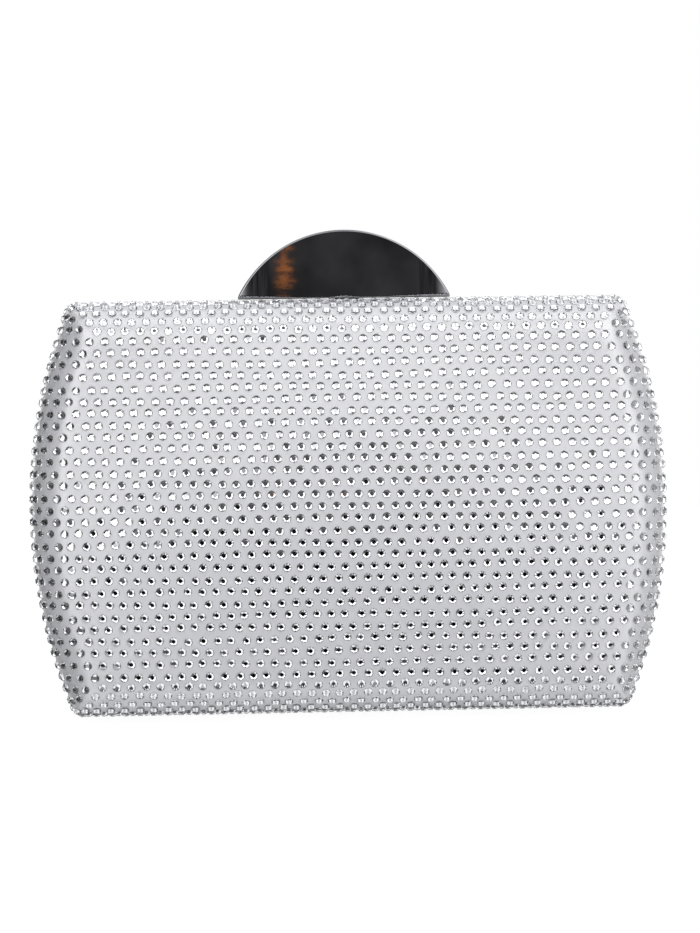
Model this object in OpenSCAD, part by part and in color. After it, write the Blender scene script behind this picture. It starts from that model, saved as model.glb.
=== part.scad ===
// Hard-case evening bag that opens like a book, set all over with small stones.
// Millimetres. X is the width, Z is up, and the front faces -Y. The bag stands
// on its stones at Z = 0, and the seam between its two halves is at Y = 0.

/* [Case] */
// Width at the widest, over the satin
case_w = 183; // [150:1:220]
// Height over the satin, without the clasp
case_h = 118; // [100:1:140]
// Depth over the satin, front to back at the middle
case_d = 48; // [44:1:60]
// Radius of the long curve of each side
side_r = 156; // [130:1:400]
// Radius of the four corners of the outline, at the seam
corner_r = 3; // [2:0.5:8]
// Radius that rolls the walls over into the face
edge_r = 11; // [8:0.5:13]
// How far the middle of the face stands above its edge
crown = 2.5; // [1:0.5:4]

/* [Layers] */
// Thickness of the satin
satin_t = 0.5; // [0.3:0.1:0.8]
// Thickness of the foam under the satin
padding_t = 1.2; // [0.8:0.1:2]
// Thickness of the moulded shell
shell_t = 1.6; // [1.2:0.1:2.5]
// Thickness of the card behind the lining, and of the frame's tongue
board_t = 1; // [0.8:0.1:1.5]
// Thickness of the lining
lining_t = 0.6; // [0.4:0.1:1]
// Clearance between one layer and the next
layer_gap = 0.05; // [0.02:0.01:0.1]

/* [Frame] */
// How far the lip of the frame lies below the satin
lip_inset = 0.3; // [0.1:0.1:0.5]
// Thickness of the lip, front to back
lip_t = 1.35; // [1:0.05:2]
// Length of the tongue that holds the shell, behind the lip
tongue_l = 6.5; // [5:0.5:8]
// Gap between the two frames when the bag is shut
seam_gap = 0.3; // [0.2:0.05:0.5]

/* [Stones] */
// Diameter of a stone
stone_d = 2.36; // [1.8:0.02:2.8]
// Diameter of the flat table on its top
table_d = 1.2; // [0.8:0.1:1.6]
// Height of a stone
stone_h = 0.95; // [0.6:0.05:1.2]
// Distance from stone to stone along a row
stone_pitch = 4.1; // [3.4:0.1:5]
// Distance from row to row
row_pitch = 3.4; // [3:0.1:4.2]

/* [Hinge] */
// Distance from the middle of the bag to the middle of each hinge
hinge_x = 45; // [30:1:55]
// Length of one knuckle
knuckle_l = 8; // [6:0.5:11]
// Radius of a knuckle
knuckle_r = 1.15; // [1:0.05:1.2]
// Radius of the hinge pin
hinge_pin_r = 0.6; // [0.5:0.05:0.7]
// Height of the foot that fixes a knuckle into its frame
foot_h = 2.6; // [2:0.1:3.5]

/* [Clasp] */
// Width of the half-moon along its straight edge
moon_w = 63; // [40:1:80]
// Height of the half-moon
moon_h = 20; // [12:0.5:28]
// Thickness of the half-moon
moon_t = 3; // [2.4:0.1:3.6]
// Radius that rounds the rim of the half-moon
moon_round = 0.4; // [0.3:0.1:1.1]
// Length of the bar that the half-moon stands on
base_l = 63; // [50:1:80]
// Width of the bar, front to back
base_w = 7; // [6.5:0.5:8]
// Height of the bar
base_h = 1.1; // [1:0.1:2.2]
// Depth of the pivot below the top of the satin
pivot_drop = 2.6; // [2.4:0.05:2.8]
// Radius of the pivot pin
clasp_pin_r = 0.6; // [0.5:0.05:0.7]
// Radius of the hub round the pin
hub_r = 1.2; // [1.1:0.05:1.3]
// Length of the hub
hub_l = 8.8; // [7:0.2:10]
// Reach of the latch hook in front of the seam
hook_reach = 4.6; // [4.3:0.1:5]
// Distance from the middle to each screw of the bar
screw_x = 20; // [14:1:22]

/* [Catch] */
// Width of the plate that the hook drops behind
catch_w = 20; // [18:1:26]
// Depth of the plate, front to back
catch_d = 6; // [5.5:0.25:7]
// Width of the wall that stands up on the plate
strike_w = 9; // [6:0.5:10]

/* [Inside] */
// Width of the slip pocket
pocket_w = 110; // [80:1:120]
// Height of the slip pocket
pocket_h = 62; // [45:1:70]
// Thickness of the pocket's cloth
pocket_t = 0.8; // [0.5:0.1:1]
// Radius of the eye of a chain lug
lug_eye_r = 1.3; // [1:0.1:1.6]
// Height of each chain lug above the middle of the case
lug_z = 36; // [20:1:40]

/* [Hidden] */

satin = "#d9d9dd";
crystal = "#eef0f4";
foam = "#efe9dc";
plastic = "#8d9095";
card = "#b9a888";
lining_cloth = "#c9c9d1";
bright_metal = "#c7c9cc";
dark_metal = "#46464b";
steel = "#a9abb0";

// Facets of large curves, of small ones and of a stone
$fn = 40;
long_fn = 180;
stone_fn = 16;
// Steps of the case's surface along a side, round a corner, over the edge and up the crown
side_steps = 7;
corner_steps = 3;
arc_steps = 4;
crown_steps = 3;
// Share by which a corner grows rounder as the surface runs inwards
corner_soft_share = 0.25;
// One overrun for all cuts
over = 1;
// Clearance of a part that moves past another, and of one that only lies beside it
run_gap = 0.3;
seat_gap = 0.05;
// Radial clearance of a pin that turns, and of one that is driven in
turn_gap = 0.04;
drive_gap = 0.01;

half_w = case_w / 2;
half_h = case_h / 2;
half_d = case_d / 2;
// Thickness of the glue under each stone
glue_t = 0.03;
mid_z = stone_h + glue_t + half_h;
// How far beyond the middle of the case each side's curve has its centre
side_off = side_r - half_w;
// Depth at which the walls start to roll over
edge_y = half_d - crown - edge_r;
face_w = half_w - edge_r;
face_h = half_h - edge_r;

// Depths below the satin's outside at which the layers start and end
padding_in = satin_t + layer_gap;
shell_in = padding_in + padding_t + layer_gap;
board_in = shell_in + shell_t + layer_gap;
lining_in = board_in + board_t + layer_gap;
inside_in = lining_in + lining_t;

// Depths from the seam
frame_y = seam_gap / 2;
lip_y = frame_y + lip_t;
layers_y = lip_y + layer_gap;
tongue_y = lip_y + tongue_l;

// Points of a quarter of the outline, in X and Z, drawn in by inset, with its corner's radius
function corner_at(inset, r) =
    let (z = half_h - inset - r)
    [sqrt(pow(side_r - inset - r, 2) - z * z) - side_off, z];
function quarter(inset, r) =
    let (c = corner_at(inset, r), a = atan2(c[1], c[0] + side_off))
    concat(
        [for (i = [0:side_steps]) let (b = a * i / side_steps)
            (side_r - inset) * [cos(b), sin(b)] - [side_off, 0]],
        [for (i = [1:corner_steps]) let (b = a + (90 - a) * i / corner_steps)
            c + r * [cos(b), sin(b)]]);
// The whole outline, anticlockwise as seen from the front
function outline_points(inset, r) =
    let (q = quarter(inset, r), n = len(q))
    concat(q, [for (i = [n - 1:-1:0]) [-q[i][0], q[i][1]]],
        [for (i = [1:n - 1]) -q[i]], [for (i = [n - 1:-1:1]) [q[i][0], -q[i][1]]]);
function lifted(points, y) = [for (p = points) [p[0], y, p[1]]];

// How far the surface that lies inset below the satin is drawn in, and how deep it is, at a
// tilt from the wall, 0, to the face, 90
function drawn_in(inset, tilt) = edge_r - (edge_r - inset) * cos(tilt);
function depth_at(inset, tilt) = edge_y + (edge_r - inset) * sin(tilt);

// Rings of points of that surface, from the crown to the seam
function surface_rings(inset, from_y) = concat(
    [for (i = [1:crown_steps - 1]) let (s = i / crown_steps)
        lifted(s * outline_points(edge_r, corner_r + corner_soft_share * edge_r),
            half_d - inset - crown * s * s)],
    [for (i = [arc_steps:-1:0]) let (a = 90 * i / arc_steps, u = drawn_in(inset, a))
        lifted(outline_points(u, corner_r - inset + corner_soft_share * u), depth_at(inset, a))],
    [lifted(outline_points(inset, corner_r - inset + corner_soft_share * inset), from_y)]);
function reversed(list) = [for (i = [len(list) - 1:-1:0]) list[i]];
function flat_list(lists) = [for (l = lists) each l];
// Faces that close a stack of rings of n points between a point at each end
function stack_faces(rings, n) =
    let (last = 1 + (rings - 1) * n, end = 1 + rings * n)
    concat(
        [for (i = [0:n - 1]) [0, 1 + i, 1 + (i + 1) % n]],
        [for (k = [0:rings - 2], i = [0:n - 1]) let (a = 1 + k * n, b = a + n, j = (i + 1) % n)
            each [[a + i, b + i, b + j], [a + i, b + j, a + j]]],
        [for (i = [0:n - 1]) [last + i, end, last + (i + 1) % n]]);

// A curved skin of the rear half between two depths below the satin
module skin(outer, inner, from_y) {
    out_rings = surface_rings(outer, from_y);
    in_rings = reversed(surface_rings(inner, from_y));
    rings = concat(out_rings, in_rings);
    polyhedron(concat([[0, half_d - outer, 0]], flat_list(rings), [[0, half_d - inner, 0]]),
        stack_faces(len(rings), len(rings[0])));
}
// The solid of the rear half under such a skin, with the seam as its flat end
module skin_core(outer, from_y) {
    rings = surface_rings(outer, from_y);
    polyhedron(concat([[0, half_d - outer, 0]], flat_list(rings), [[0, from_y, 0]]),
        stack_faces(len(rings), len(rings[0])));
}

// Section of a wall that rolls over into the face, from a centre line out to its reach
function wall_section(reach, top_at, inset, from_y) = concat(
    [[0, from_y], [reach - inset, from_y]],
    [for (i = [0:arc_steps]) let (a = 90 * i / arc_steps)
        [reach - drawn_in(inset, a), depth_at(inset, a)]],
    [for (i = [crown_steps - 1:-1:0]) let (s = i / crown_steps)
        [top_at + (reach - edge_r - top_at) * s, half_d - inset - crown * s * s]]);
module side_form(inset, from_y) {
    rotate([-90, 0, 0]) rotate_extrude($fn = long_fn)
        polygon(concat(wall_section(side_r, side_off, inset, from_y), [[0, half_d - inset]]));
}
module across_form(inset, from_y) {
    s = wall_section(half_h, 0, inset, from_y);
    last = len(s) - 1;
    rotate([90, 0, 90]) linear_extrude(case_w, center = true)
        polygon([for (i = [1:last]) [s[i][1], s[i][0]],
            for (i = [last - 1:-1:1]) [s[i][1], -s[i][0]]]);
}
// The rear half's solid at a depth below the satin, with plain corners
module half_form(inset, from_y) {
    intersection() {
        translate([-side_off, 0, 0]) side_form(inset, from_y);
        translate([side_off, 0, 0]) side_form(inset, from_y);
        across_form(inset, from_y);
    }
}
module hollow_form(outer, inner, from_y) {
    difference() {
        half_form(outer, from_y);
        half_form(inner, from_y - over);
    }
}

// The flat outline of the case, drawn in by inset, with plain corners
module plain_outline(inset) {
    difference() {
        intersection() {
            translate([-side_off, 0]) circle(side_r - inset, $fn = long_fn);
            translate([side_off, 0]) circle(side_r - inset, $fn = long_fn);
        }
        for (s = [0, 1]) mirror([0, s]) translate([-half_w, half_h - inset])
            square([case_w, side_r]);
    }
}
// The same with rounded corners
module outline(inset, r) {
    c = corner_at(inset, r);
    a = atan2(c[1], c[0] + side_off);
    difference() {
        plain_outline(inset);
        for (sx = [0, 1], sz = [0, 1]) mirror([sx, 0]) mirror([0, sz]) difference() {
            polygon([c, c + 2 * r * [cos(a), sin(a)], c + 2 * r * [1, 1], c + 2 * r * [0, 1]]);
            translate(c) circle(r);
        }
    }
}
// Its children, flat shapes in X and Z, made into a solid between two depths
module between(y_from, y_to) {
    translate([0, y_to, 0]) rotate([90, 0, 0]) linear_extrude(y_to - y_from) children();
}

module on_base() { translate([0, 0, mid_z]) children(); }
module front_side() { mirror([0, 1, 0]) children(); }
module block(x, y, z) {
    translate([x[0], y[0], z[0]]) cube([x[1] - x[0], y[1] - y[0], z[1] - z[0]]);
}
module rod_x(r, x, y, z) {
    translate([x[0], y, z]) rotate([0, 90, 0]) cylinder(h = x[1] - x[0], r = r);
}

// Hinge: the pin runs level with the outside of the lips, inside the depth of the stones
hinge_z = -half_h + lip_inset;
knuckles = 3;
knuckle_step = knuckle_l + run_gap;
hinge_l = knuckles * knuckle_step - run_gap;
pin_head_r = 0.85;
pin_head_h = 0.3;
hinge_notch_z = hinge_z + knuckle_r + run_gap;
foot_z = hinge_z + foot_h;
function knuckle_x(h, i) = h * hinge_x + (i - (knuckles - 1) / 2) * knuckle_step;

// Clasp: places in the case's own heights, with the satin's top at half_h
base_y = [seam_gap, seam_gap + base_w];
base_z = [half_h + layer_gap, half_h + layer_gap + base_h];
pivot_y = (base_y[0] + base_y[1]) / 2;
pivot_z = half_h - pivot_drop;
moon_gap = 0.45;
moon_z = base_z[1] + moon_gap;
moon_r = (moon_w * moon_w / 4 + moon_h * moon_h) / (2 * moon_h);
moon_tip = 0.4;
neck_t = 1.6;
neck_swing = 0.9;
eye_w = 3.2;
side_play = 0.15;
spring_w = 2.4;
ear_t = 1.4;
ear_x = hub_l / 2 + 2 * side_play + spring_w;
clasp_cut_x = ear_x + ear_t + run_gap;
clasp_cut_y = pivot_y + hub_r + 2 * run_gap;
arm_t = 0.8;
tip_w = 0.8;
tip_drop = 0.6;
// The hook's end passes this far above the strike, so the bag opens whether or not it is pressed
bite_gap = 0.1;
arm_lift = 1.1;
tab_t = 0.55;
tab_h = 2.2;
wire_r = 0.15;
coil_r = clasp_pin_r + 0.25;
coil_turns = 3;
coil_rings = 10;
coil_sides = 6;
leg_l = 1.4;
screw_r = 0.8;
screw_head_r = 1.5;
screw_head_h = 0.9;
screw_bite = 0.7;
slot_w = 0.4;

// Catch: the plate lies level with the lining, on the inside of the front frame's tongue
tongue_under = half_h - board_in - board_t;
catch_t = lining_t;
catch_z = [tongue_under - layer_gap - catch_t, tongue_under - layer_gap];
strike_top = pivot_z - arm_t / 2 - tip_drop - bite_gap;
strike_t = 1;
strike_y = hook_reach - tip_w - run_gap;
rivet_r = 0.7;
rivet_head_r = 1.3;
rivet_head_h = 0.5;
rivet_x = catch_w / 2 - 2.6;
rivet_y = layers_y + catch_d / 2 + 0.4;
hem_h = 4;
hem_t = 0.5;
pocket_r = 8;
lug_r = 2.4;
lug_t = 1.1;
lug_reach = 2.6;

// Openings that the clasp needs in the layers of the rear half
module clasp_cuts(hole_r) {
    block([-clasp_cut_x, clasp_cut_x], [lip_y, clasp_cut_y],
        [tongue_under - over, half_h + over]);
    for (s = [-1, 1]) translate([s * screw_x, pivot_y, tongue_under - over])
        cylinder(h = half_h - tongue_under + 2 * over, r = hole_r);
}
// The room that the hook and the strike need in the front half's hard layers
module catch_cut() {
    block([-strike_w / 2 - run_gap, strike_w / 2 + run_gap],
        [lip_y, layers_y + hook_reach + run_gap], [tongue_under - over, half_h + over]);
}
module arm_window(bottom) {
    block([-eye_w / 2 - run_gap, eye_w / 2 + run_gap], [0, lip_y],
        [bottom, pivot_z + arm_t / 2 + arm_lift]);
}

module plain_frame() {
    lip_corner = corner_r - lip_inset;
    inner_corner = corner_r / 2;
    between(frame_y, lip_y) difference() {
        outline(lip_inset, lip_corner);
        outline(inside_in, inner_corner);
    }
    between(lip_y, tongue_y) difference() {
        outline(board_in, inner_corner);
        plain_outline(board_in + board_t);
    }
}
module hinge_notches(own) {
    for (h = [-1, 1]) {
        block([h * hinge_x - hinge_l / 2 - run_gap - pin_head_h,
            h * hinge_x + hinge_l / 2 + run_gap + pin_head_h],
            [0, lip_y + seat_gap], [hinge_z - over, hinge_notch_z]);
        for (i = own) block([knuckle_x(h, i) - knuckle_l / 2 - seat_gap,
            knuckle_x(h, i) + knuckle_l / 2 + seat_gap],
            [0, lip_y + seat_gap], [hinge_z, foot_z + seat_gap]);
    }
}
rear_own = [0, 2];
front_own = [1];

module rear_frame() color(bright_metal) on_base() difference() {
    plain_frame();
    hinge_notches(rear_own);
    arm_window(pivot_z - arm_t / 2 - run_gap);
    block([-clasp_cut_x, clasp_cut_x], [lip_y, clasp_cut_y],
        [tongue_under - over, half_h]);
    for (s = [-1, 1]) translate([s * screw_x, pivot_y, tongue_under - over])
        cylinder(h = board_t + 2 * over, r = screw_r + seat_gap);
}
module front_frame() color(bright_metal) on_base() front_side() difference() {
    plain_frame();
    hinge_notches(front_own);
    arm_window(pivot_z - arm_t / 2 - tip_drop - run_gap);
    block([-strike_w / 2 - run_gap, strike_w / 2 + run_gap],
        [lip_y, layers_y + hook_reach + run_gap], [tongue_under - over, half_h]);
    for (s = [-1, 1]) translate([s * rivet_x, rivet_y, tongue_under - over])
        cylinder(h = board_t + 2 * over, r = rivet_r + drive_gap);
}

module rear_cover() color(satin) on_base() difference() {
    skin(0, satin_t, layers_y);
    clasp_cuts(screw_r + run_gap);
}
module front_cover() color(satin) on_base() front_side() skin(0, satin_t, layers_y);

module plain_padding() {
    difference() {
        skin_core(padding_in, layers_y);
        half_form(padding_in + padding_t, layers_y - over);
    }
}
module rear_padding() color(foam) on_base() difference() {
    plain_padding();
    clasp_cuts(screw_r + run_gap);
}
module front_padding() color(foam) on_base() front_side() difference() {
    plain_padding();
    catch_cut();
}

module rear_shell() color(plastic) on_base() difference() {
    hollow_form(shell_in, shell_in + shell_t, layers_y);
    clasp_cuts(screw_r + run_gap);
}
module front_shell() color(plastic) on_base() front_side() difference() {
    hollow_form(shell_in, shell_in + shell_t, layers_y);
    catch_cut();
}

module plain_board() { hollow_form(board_in, board_in + board_t, tongue_y + layer_gap); }
module rear_board() color(card) on_base() plain_board();
module front_board() color(card) on_base() front_side() plain_board();

module rear_lining() color(lining_cloth) on_base() difference() {
    hollow_form(lining_in, inside_in, layers_y);
    for (s = [-1, 1]) translate([s * screw_x, pivot_y, half_h - inside_in - over])
        cylinder(h = inside_in, r = screw_head_r + run_gap);
}
module front_lining() color(lining_cloth) on_base() front_side() difference() {
    hollow_form(lining_in, inside_in, layers_y);
    block([-catch_w / 2 - run_gap, catch_w / 2 + run_gap],
        [0, layers_y + seat_gap + catch_d + run_gap], [half_h - inside_in - over, half_h]);
}

// Stones. Each place is a point of the satin with the direction that the stone faces.
wall_rows = floor((edge_y - layers_y - stone_d / 2) / row_pitch);
roll_rows = ceil(PI / 2 * edge_r / row_pitch);
face_rows = round(2 * face_h / row_pitch);
face_step = 2 * face_h / face_rows;
side_extra = floor((edge_r - stone_d) / face_step);
// Distance that stones keep from the mitre between a side and the top or bottom
mitre_gap = 0.74 * stone_d;
// Room at the end of a row that takes one more stone
end_room = 1.1 * stone_d;
roll_l = PI / 2 * edge_r;

// Across a row at height z, at a distance p along the surface from the middle
function face_edge(z) = sqrt(pow(side_r - edge_r, 2) - z * z) - side_off;
function on_face(p, z) =
    let (sx = (norm([abs(p) + side_off, z]) - side_off) / face_w, sz = abs(z) / face_h,
        s = max(sx, sz),
        lean = sx > sz ? [sign(p) * 2 * crown * s / face_w, 1, 0]
            : [0, 1, sign(z) * 2 * crown * s / face_h])
    [[p, half_d - crown * s * s, z], lean / norm(lean)];
function on_side(p, z) =
    let (t = abs(p) - face_edge(z), rolled = min(t, roll_l), tilt = 90 * rolled / roll_l,
        r = side_r - edge_r * (1 - sin(tilt)), x = sqrt(r * r - z * z) - side_off,
        b = atan2(z, x + side_off), lean = max(tilt, atan(2 * crown / face_w)))
    [[sign(p) * x, edge_y + edge_r * cos(tilt) - (t - rolled), z],
        [sign(p) * sin(lean) * cos(b), cos(lean), sin(lean) * sin(b)]];
// Places from low to high along a row, at the pitch, with one more at an end that has room
function row_steps(low, high, odd) =
    let (steps = [for (i = [ceil(low / stone_pitch - odd / 2):1:floor(high / stone_pitch - odd / 2)])
            (i + odd / 2) * stone_pitch], n = len(steps))
    n == 0 ? [(low + high) / 2] : concat(steps[0] - low > end_room ? [low] : [], steps,
        high - steps[n - 1] > end_room ? [high] : []);
function row_places(z, odd) =
    let (end = face_edge(z) + roll_l + edge_y - layers_y - stone_d / 2,
        tilt = asin(min(1, 1 - (half_h - abs(z) - mitre_gap) / edge_r)),
        start = face_edge(z) + roll_l * tilt / 90)
    abs(z) > face_h + seat_gap
    ? [for (s = [-1, 1], p = row_steps(start, end, odd)) on_side(s * p, z)]
    : [for (p = row_steps(-end, end, odd)) abs(p) <= face_edge(z) ? on_face(p, z) : on_side(p, z)];
// Along the top, up is 1, or the bottom, up is -1, at a number of rows past the face's edge
function roll_places(up, j, odd) =
    let (tilt = 90 * min(j / roll_rows, 1), y = j <= roll_rows ? edge_y + edge_r * cos(tilt)
            : edge_y - (j - roll_rows) * row_pitch,
        u = edge_r * (1 - sin(tilt)), z = up * (half_h - u),
        end = sqrt(pow(side_r - u - mitre_gap, 2) - z * z) - side_off)
    [for (x = row_steps(-end, end, odd)) [[x, y, z], [0, cos(tilt), up * sin(tilt)]]];
face_places = [for (k = [-side_extra:face_rows + side_extra])
    each row_places(k * face_step - face_h, abs(k) % 2)];
roll_row_count = roll_rows + wall_rows;
function edge_places(up, skip) = [for (j = [1:roll_row_count]) if (j != skip)
    each roll_places(up, j, (j + (up > 0 ? face_rows : 0)) % 2)];
case_places = concat(face_places, edge_places(1, 0), edge_places(-1, roll_rows));
base_places = roll_places(-1, roll_rows, roll_rows % 2);
// Whether a place is clear of the clasp's bar
function clear_of_clasp(p) = p[2] < 0 || abs(p[0]) > base_l / 2 + stone_d / 2 + run_gap
    || p[1] > base_y[1] + stone_d / 2 + run_gap;

module stone() { cylinder(h = stone_h, r1 = stone_d / 2, r2 = table_d / 2, $fn = stone_fn); }
module stones(places) {
    for (s = places) translate(s[0] + glue_t * s[1])
        rotate([0, acos(s[1][2]), atan2(s[1][1], s[1][0])]) stone();
}
module rear_stones() color(crystal) on_base()
    stones([for (s = case_places) if (clear_of_clasp(s[0])) s]);
module front_stones() color(crystal) on_base() front_side() stones(case_places);
module rear_base_stones() color(crystal) on_base() stones(base_places);
module front_base_stones() color(crystal) on_base() front_side() stones(base_places);

module knuckle(x) {
    difference() {
        union() {
            rod_x(knuckle_r, [x - knuckle_l / 2, x + knuckle_l / 2], 0, hinge_z);
            block([x - knuckle_l / 2, x + knuckle_l / 2], [0, lip_y], [hinge_z, foot_z]);
        }
        children();
    }
}
module rear_knuckles() color(bright_metal) on_base() for (h = [-1, 1], i = rear_own)
    knuckle(knuckle_x(h, i)) rod_x(hinge_pin_r + drive_gap,
        [-half_w, half_w], 0, hinge_z);
module front_knuckles() color(bright_metal) on_base() front_side() for (h = [-1, 1], i = front_own)
    knuckle(knuckle_x(h, i)) rod_x(hinge_pin_r + turn_gap, [-half_w, half_w], 0, hinge_z);
module hinge_pins() color(steel) on_base() for (h = [-1, 1]) {
    rod_x(hinge_pin_r, [h * hinge_x - hinge_l / 2 - pin_head_h / 2,
        h * hinge_x + hinge_l / 2 + pin_head_h / 2], 0, hinge_z);
    for (s = [-1, 1]) translate([h * hinge_x + s * (hinge_l / 2 + pin_head_h / 2 + drive_gap), 0, hinge_z])
        rotate([0, 90, 0]) cylinder(h = pin_head_h, r = pin_head_r, center = true);
}

module clasp_base() color(bright_metal) on_base() difference() {
    union() {
        block([-base_l / 2, base_l / 2], base_y, base_z);
        for (s = [-1, 1]) translate([s * (ear_x + ear_t / 2), 0, 0])
            block([-ear_t / 2, ear_t / 2], [pivot_y - hub_r, pivot_y + hub_r],
                [pivot_z - hub_r, base_z[0] + base_h / 2]);
    }
    block([-hub_l / 2 - run_gap, hub_l / 2 + run_gap],
        [pivot_y - neck_t / 2 - run_gap, pivot_y + neck_t / 2 + neck_swing],
        [base_z[0] - over, base_z[1] + over]);
    rod_x(clasp_pin_r + drive_gap, [-ear_x - ear_t - over, ear_x + ear_t + over], pivot_y, pivot_z);
    for (s = [-1, 1]) translate([s * screw_x, pivot_y, base_z[0] - over])
        cylinder(h = over + screw_bite + seat_gap, r = screw_r + drive_gap);
}
module moon() {
    rim = moon_t / 2 - moon_round;
    intersection() {
        translate([0, pivot_y, moon_z + moon_h - moon_r]) rotate([90, 0, 0])
            rotate_extrude($fn = long_fn) {
                translate([0, -moon_t / 2]) square([moon_r - moon_round, moon_t]);
                translate([0, -rim]) square([moon_r, 2 * rim]);
                for (s = [-1, 1]) translate([moon_r - moon_round, s * rim]) circle(moon_round);
            }
        block([-moon_w / 2 + moon_tip, moon_w / 2 - moon_tip],
            [pivot_y - moon_t, pivot_y + moon_t], [moon_z, moon_z + moon_h + over]);
    }
}
module clasp_plate() color(dark_metal) on_base() difference() {
    union() {
        moon();
        block([-hub_l / 2, hub_l / 2], [pivot_y - neck_t / 2, pivot_y + neck_t / 2],
            [pivot_z, moon_z + moon_round]);
        rod_x(hub_r, [-hub_l / 2, hub_l / 2], pivot_y, pivot_z);
    }
    rod_x(clasp_pin_r + turn_gap, [-hub_l, hub_l], pivot_y, pivot_z);
    block([-eye_w / 2 - side_play, eye_w / 2 + side_play],
        [pivot_y - 2 * hub_r, pivot_y + 2 * hub_r], [pivot_z - 2 * hub_r, pivot_z + hub_r + seat_gap]);
}
module latch_hook() color(steel) on_base() difference() {
    tab_y = pivot_y - neck_t / 2 - seat_gap;
    tip = [-hook_reach, -hook_reach + tip_w];
    union() {
        rod_x(hub_r, [-eye_w / 2, eye_w / 2], pivot_y, pivot_z);
        block([-eye_w / 2, eye_w / 2], [-hook_reach, pivot_y],
            [pivot_z - arm_t / 2, pivot_z + arm_t / 2]);
        block([-eye_w / 2, eye_w / 2], tip,
            [pivot_z - arm_t / 2 - tip_drop, pivot_z]);
        block([-eye_w / 2, eye_w / 2], [tab_y - tab_t, tab_y], [pivot_z, pivot_z + tab_h]);
    }
    rod_x(clasp_pin_r + turn_gap, [-eye_w, eye_w], pivot_y, pivot_z);
}
module clasp_pin() color(steel) on_base()
    rod_x(clasp_pin_r, [-ear_x - ear_t, ear_x + ear_t], pivot_y, pivot_z);

// A wire wound round the pivot pin, with a straight leg at each end
function coil_point(t) = [t * (spring_w - 2 * wire_r) + wire_r,
    coil_r * cos(360 * coil_turns * t), coil_r * sin(360 * coil_turns * t)];
coil_path = concat([coil_point(0) - [0, 0, leg_l]],
    [for (i = [0:coil_turns * coil_rings]) coil_point(i / (coil_turns * coil_rings))],
    [coil_point(1) + [0, 0, leg_l]]);
function unit(v) = v / norm(v);
function along(path, i) = unit(path[min(i + 1, len(path) - 1)] - path[max(i - 1, 0)]);
module tube(path, r, sides) {
    rings = [for (i = [0:len(path) - 1])
        let (t = along(path, i), a = unit(cross(t, [1, 0, 0])), b = cross(t, a))
        [for (k = [0:sides - 1]) path[i] + r * (a * cos(360 * k / sides) + b * sin(360 * k / sides))]];
    polyhedron(concat([path[0]], flat_list(rings), [path[len(path) - 1]]),
        [for (f = stack_faces(len(rings), sides)) reversed(f)]);
}
module clasp_springs() color(steel) on_base() for (s = [0, 1]) mirror([s, 0, 0])
    translate([hub_l / 2 + side_play, pivot_y, pivot_z]) tube(coil_path, wire_r, coil_sides);

module clasp_screws() color(steel) on_base() for (s = [-1, 1])
    translate([s * screw_x, pivot_y, tongue_under - screw_head_h - drive_gap]) difference() {
        union() {
            cylinder(h = screw_head_h, r = screw_head_r);
            cylinder(h = base_z[0] + screw_bite - tongue_under + screw_head_h, r = screw_r);
        }
        translate([-screw_head_r - over, -slot_w / 2, -over])
            cube([2 * (screw_head_r + over), slot_w, over + slot_w]);
    }

module catch_plate() color(steel) on_base() front_side() difference() {
    union() {
        block([-catch_w / 2, catch_w / 2], [layers_y + seat_gap, layers_y + seat_gap + catch_d],
            catch_z);
        block([-strike_w / 2, strike_w / 2], [strike_y - strike_t, strike_y],
            [catch_z[0], strike_top]);
    }
    for (s = [-1, 1]) translate([s * rivet_x, rivet_y, catch_z[0] - over])
        cylinder(h = catch_t + 2 * over, r = rivet_r + drive_gap);
}
module catch_rivets() color(steel) on_base() front_side() for (s = [-1, 1])
    translate([s * rivet_x, rivet_y, catch_z[0] - drive_gap]) {
        cylinder(h = catch_t + layer_gap + board_t + drive_gap, r = rivet_r);
        mirror([0, 0, 1]) cylinder(h = rivet_head_h, r1 = rivet_head_r, r2 = rivet_r);
    }

// The pocket's flat panel touches the lining only along its sides, where the lining is shallower
pocket_low = -face_h + pocket_r;
pocket_y = half_d - inside_in - 2 * seat_gap
    - crown * pow(max(pocket_w / 2 / face_w, -pocket_low / face_h), 2);
module pocket_panel(thick) {
    rotate([90, 0, 0]) linear_extrude(thick) union() {
        translate([-pocket_w / 2, pocket_low + pocket_r]) square([pocket_w, pocket_h - pocket_r]);
        translate([-pocket_w / 2 + pocket_r, pocket_low]) square([pocket_w - 2 * pocket_r, pocket_r * 2]);
        for (s = [-1, 1]) translate([s * (pocket_w / 2 - pocket_r), pocket_low + pocket_r])
            circle(pocket_r);
    }
}
module slip_pocket() color(lining_cloth) on_base() union() {
    translate([0, pocket_y, 0]) pocket_panel(pocket_t);
    block([-pocket_w / 2, pocket_w / 2], [pocket_y - pocket_t - hem_t, pocket_y - pocket_t / 2],
        [pocket_low + pocket_h - hem_h, pocket_low + pocket_h]);
}

// Eyes for a chain, soldered to the inner edge of the rear frame's lip
module chain_lugs() color(bright_metal) on_base() for (s = [0, 1]) mirror([s, 0, 0])
    intersection() {
        edge_x = sqrt(pow(side_r - inside_in, 2) - lug_z * lug_z) - side_off;
        translate([edge_x - lug_reach, lip_y - (lip_t - lug_t) / 2, lug_z]) rotate([90, 0, 0])
            linear_extrude(lug_t) difference() {
                union() {
                    circle(lug_r);
                    translate([0, -lug_r]) square([2 * lug_reach, 2 * lug_r]);
                }
                circle(lug_eye_r);
            }
        outline_core(inside_in + drive_gap, corner_r / 2);
    }
module outline_core(inset, r) {
    between(0, half_d) outline(inset, r);
}

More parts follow.
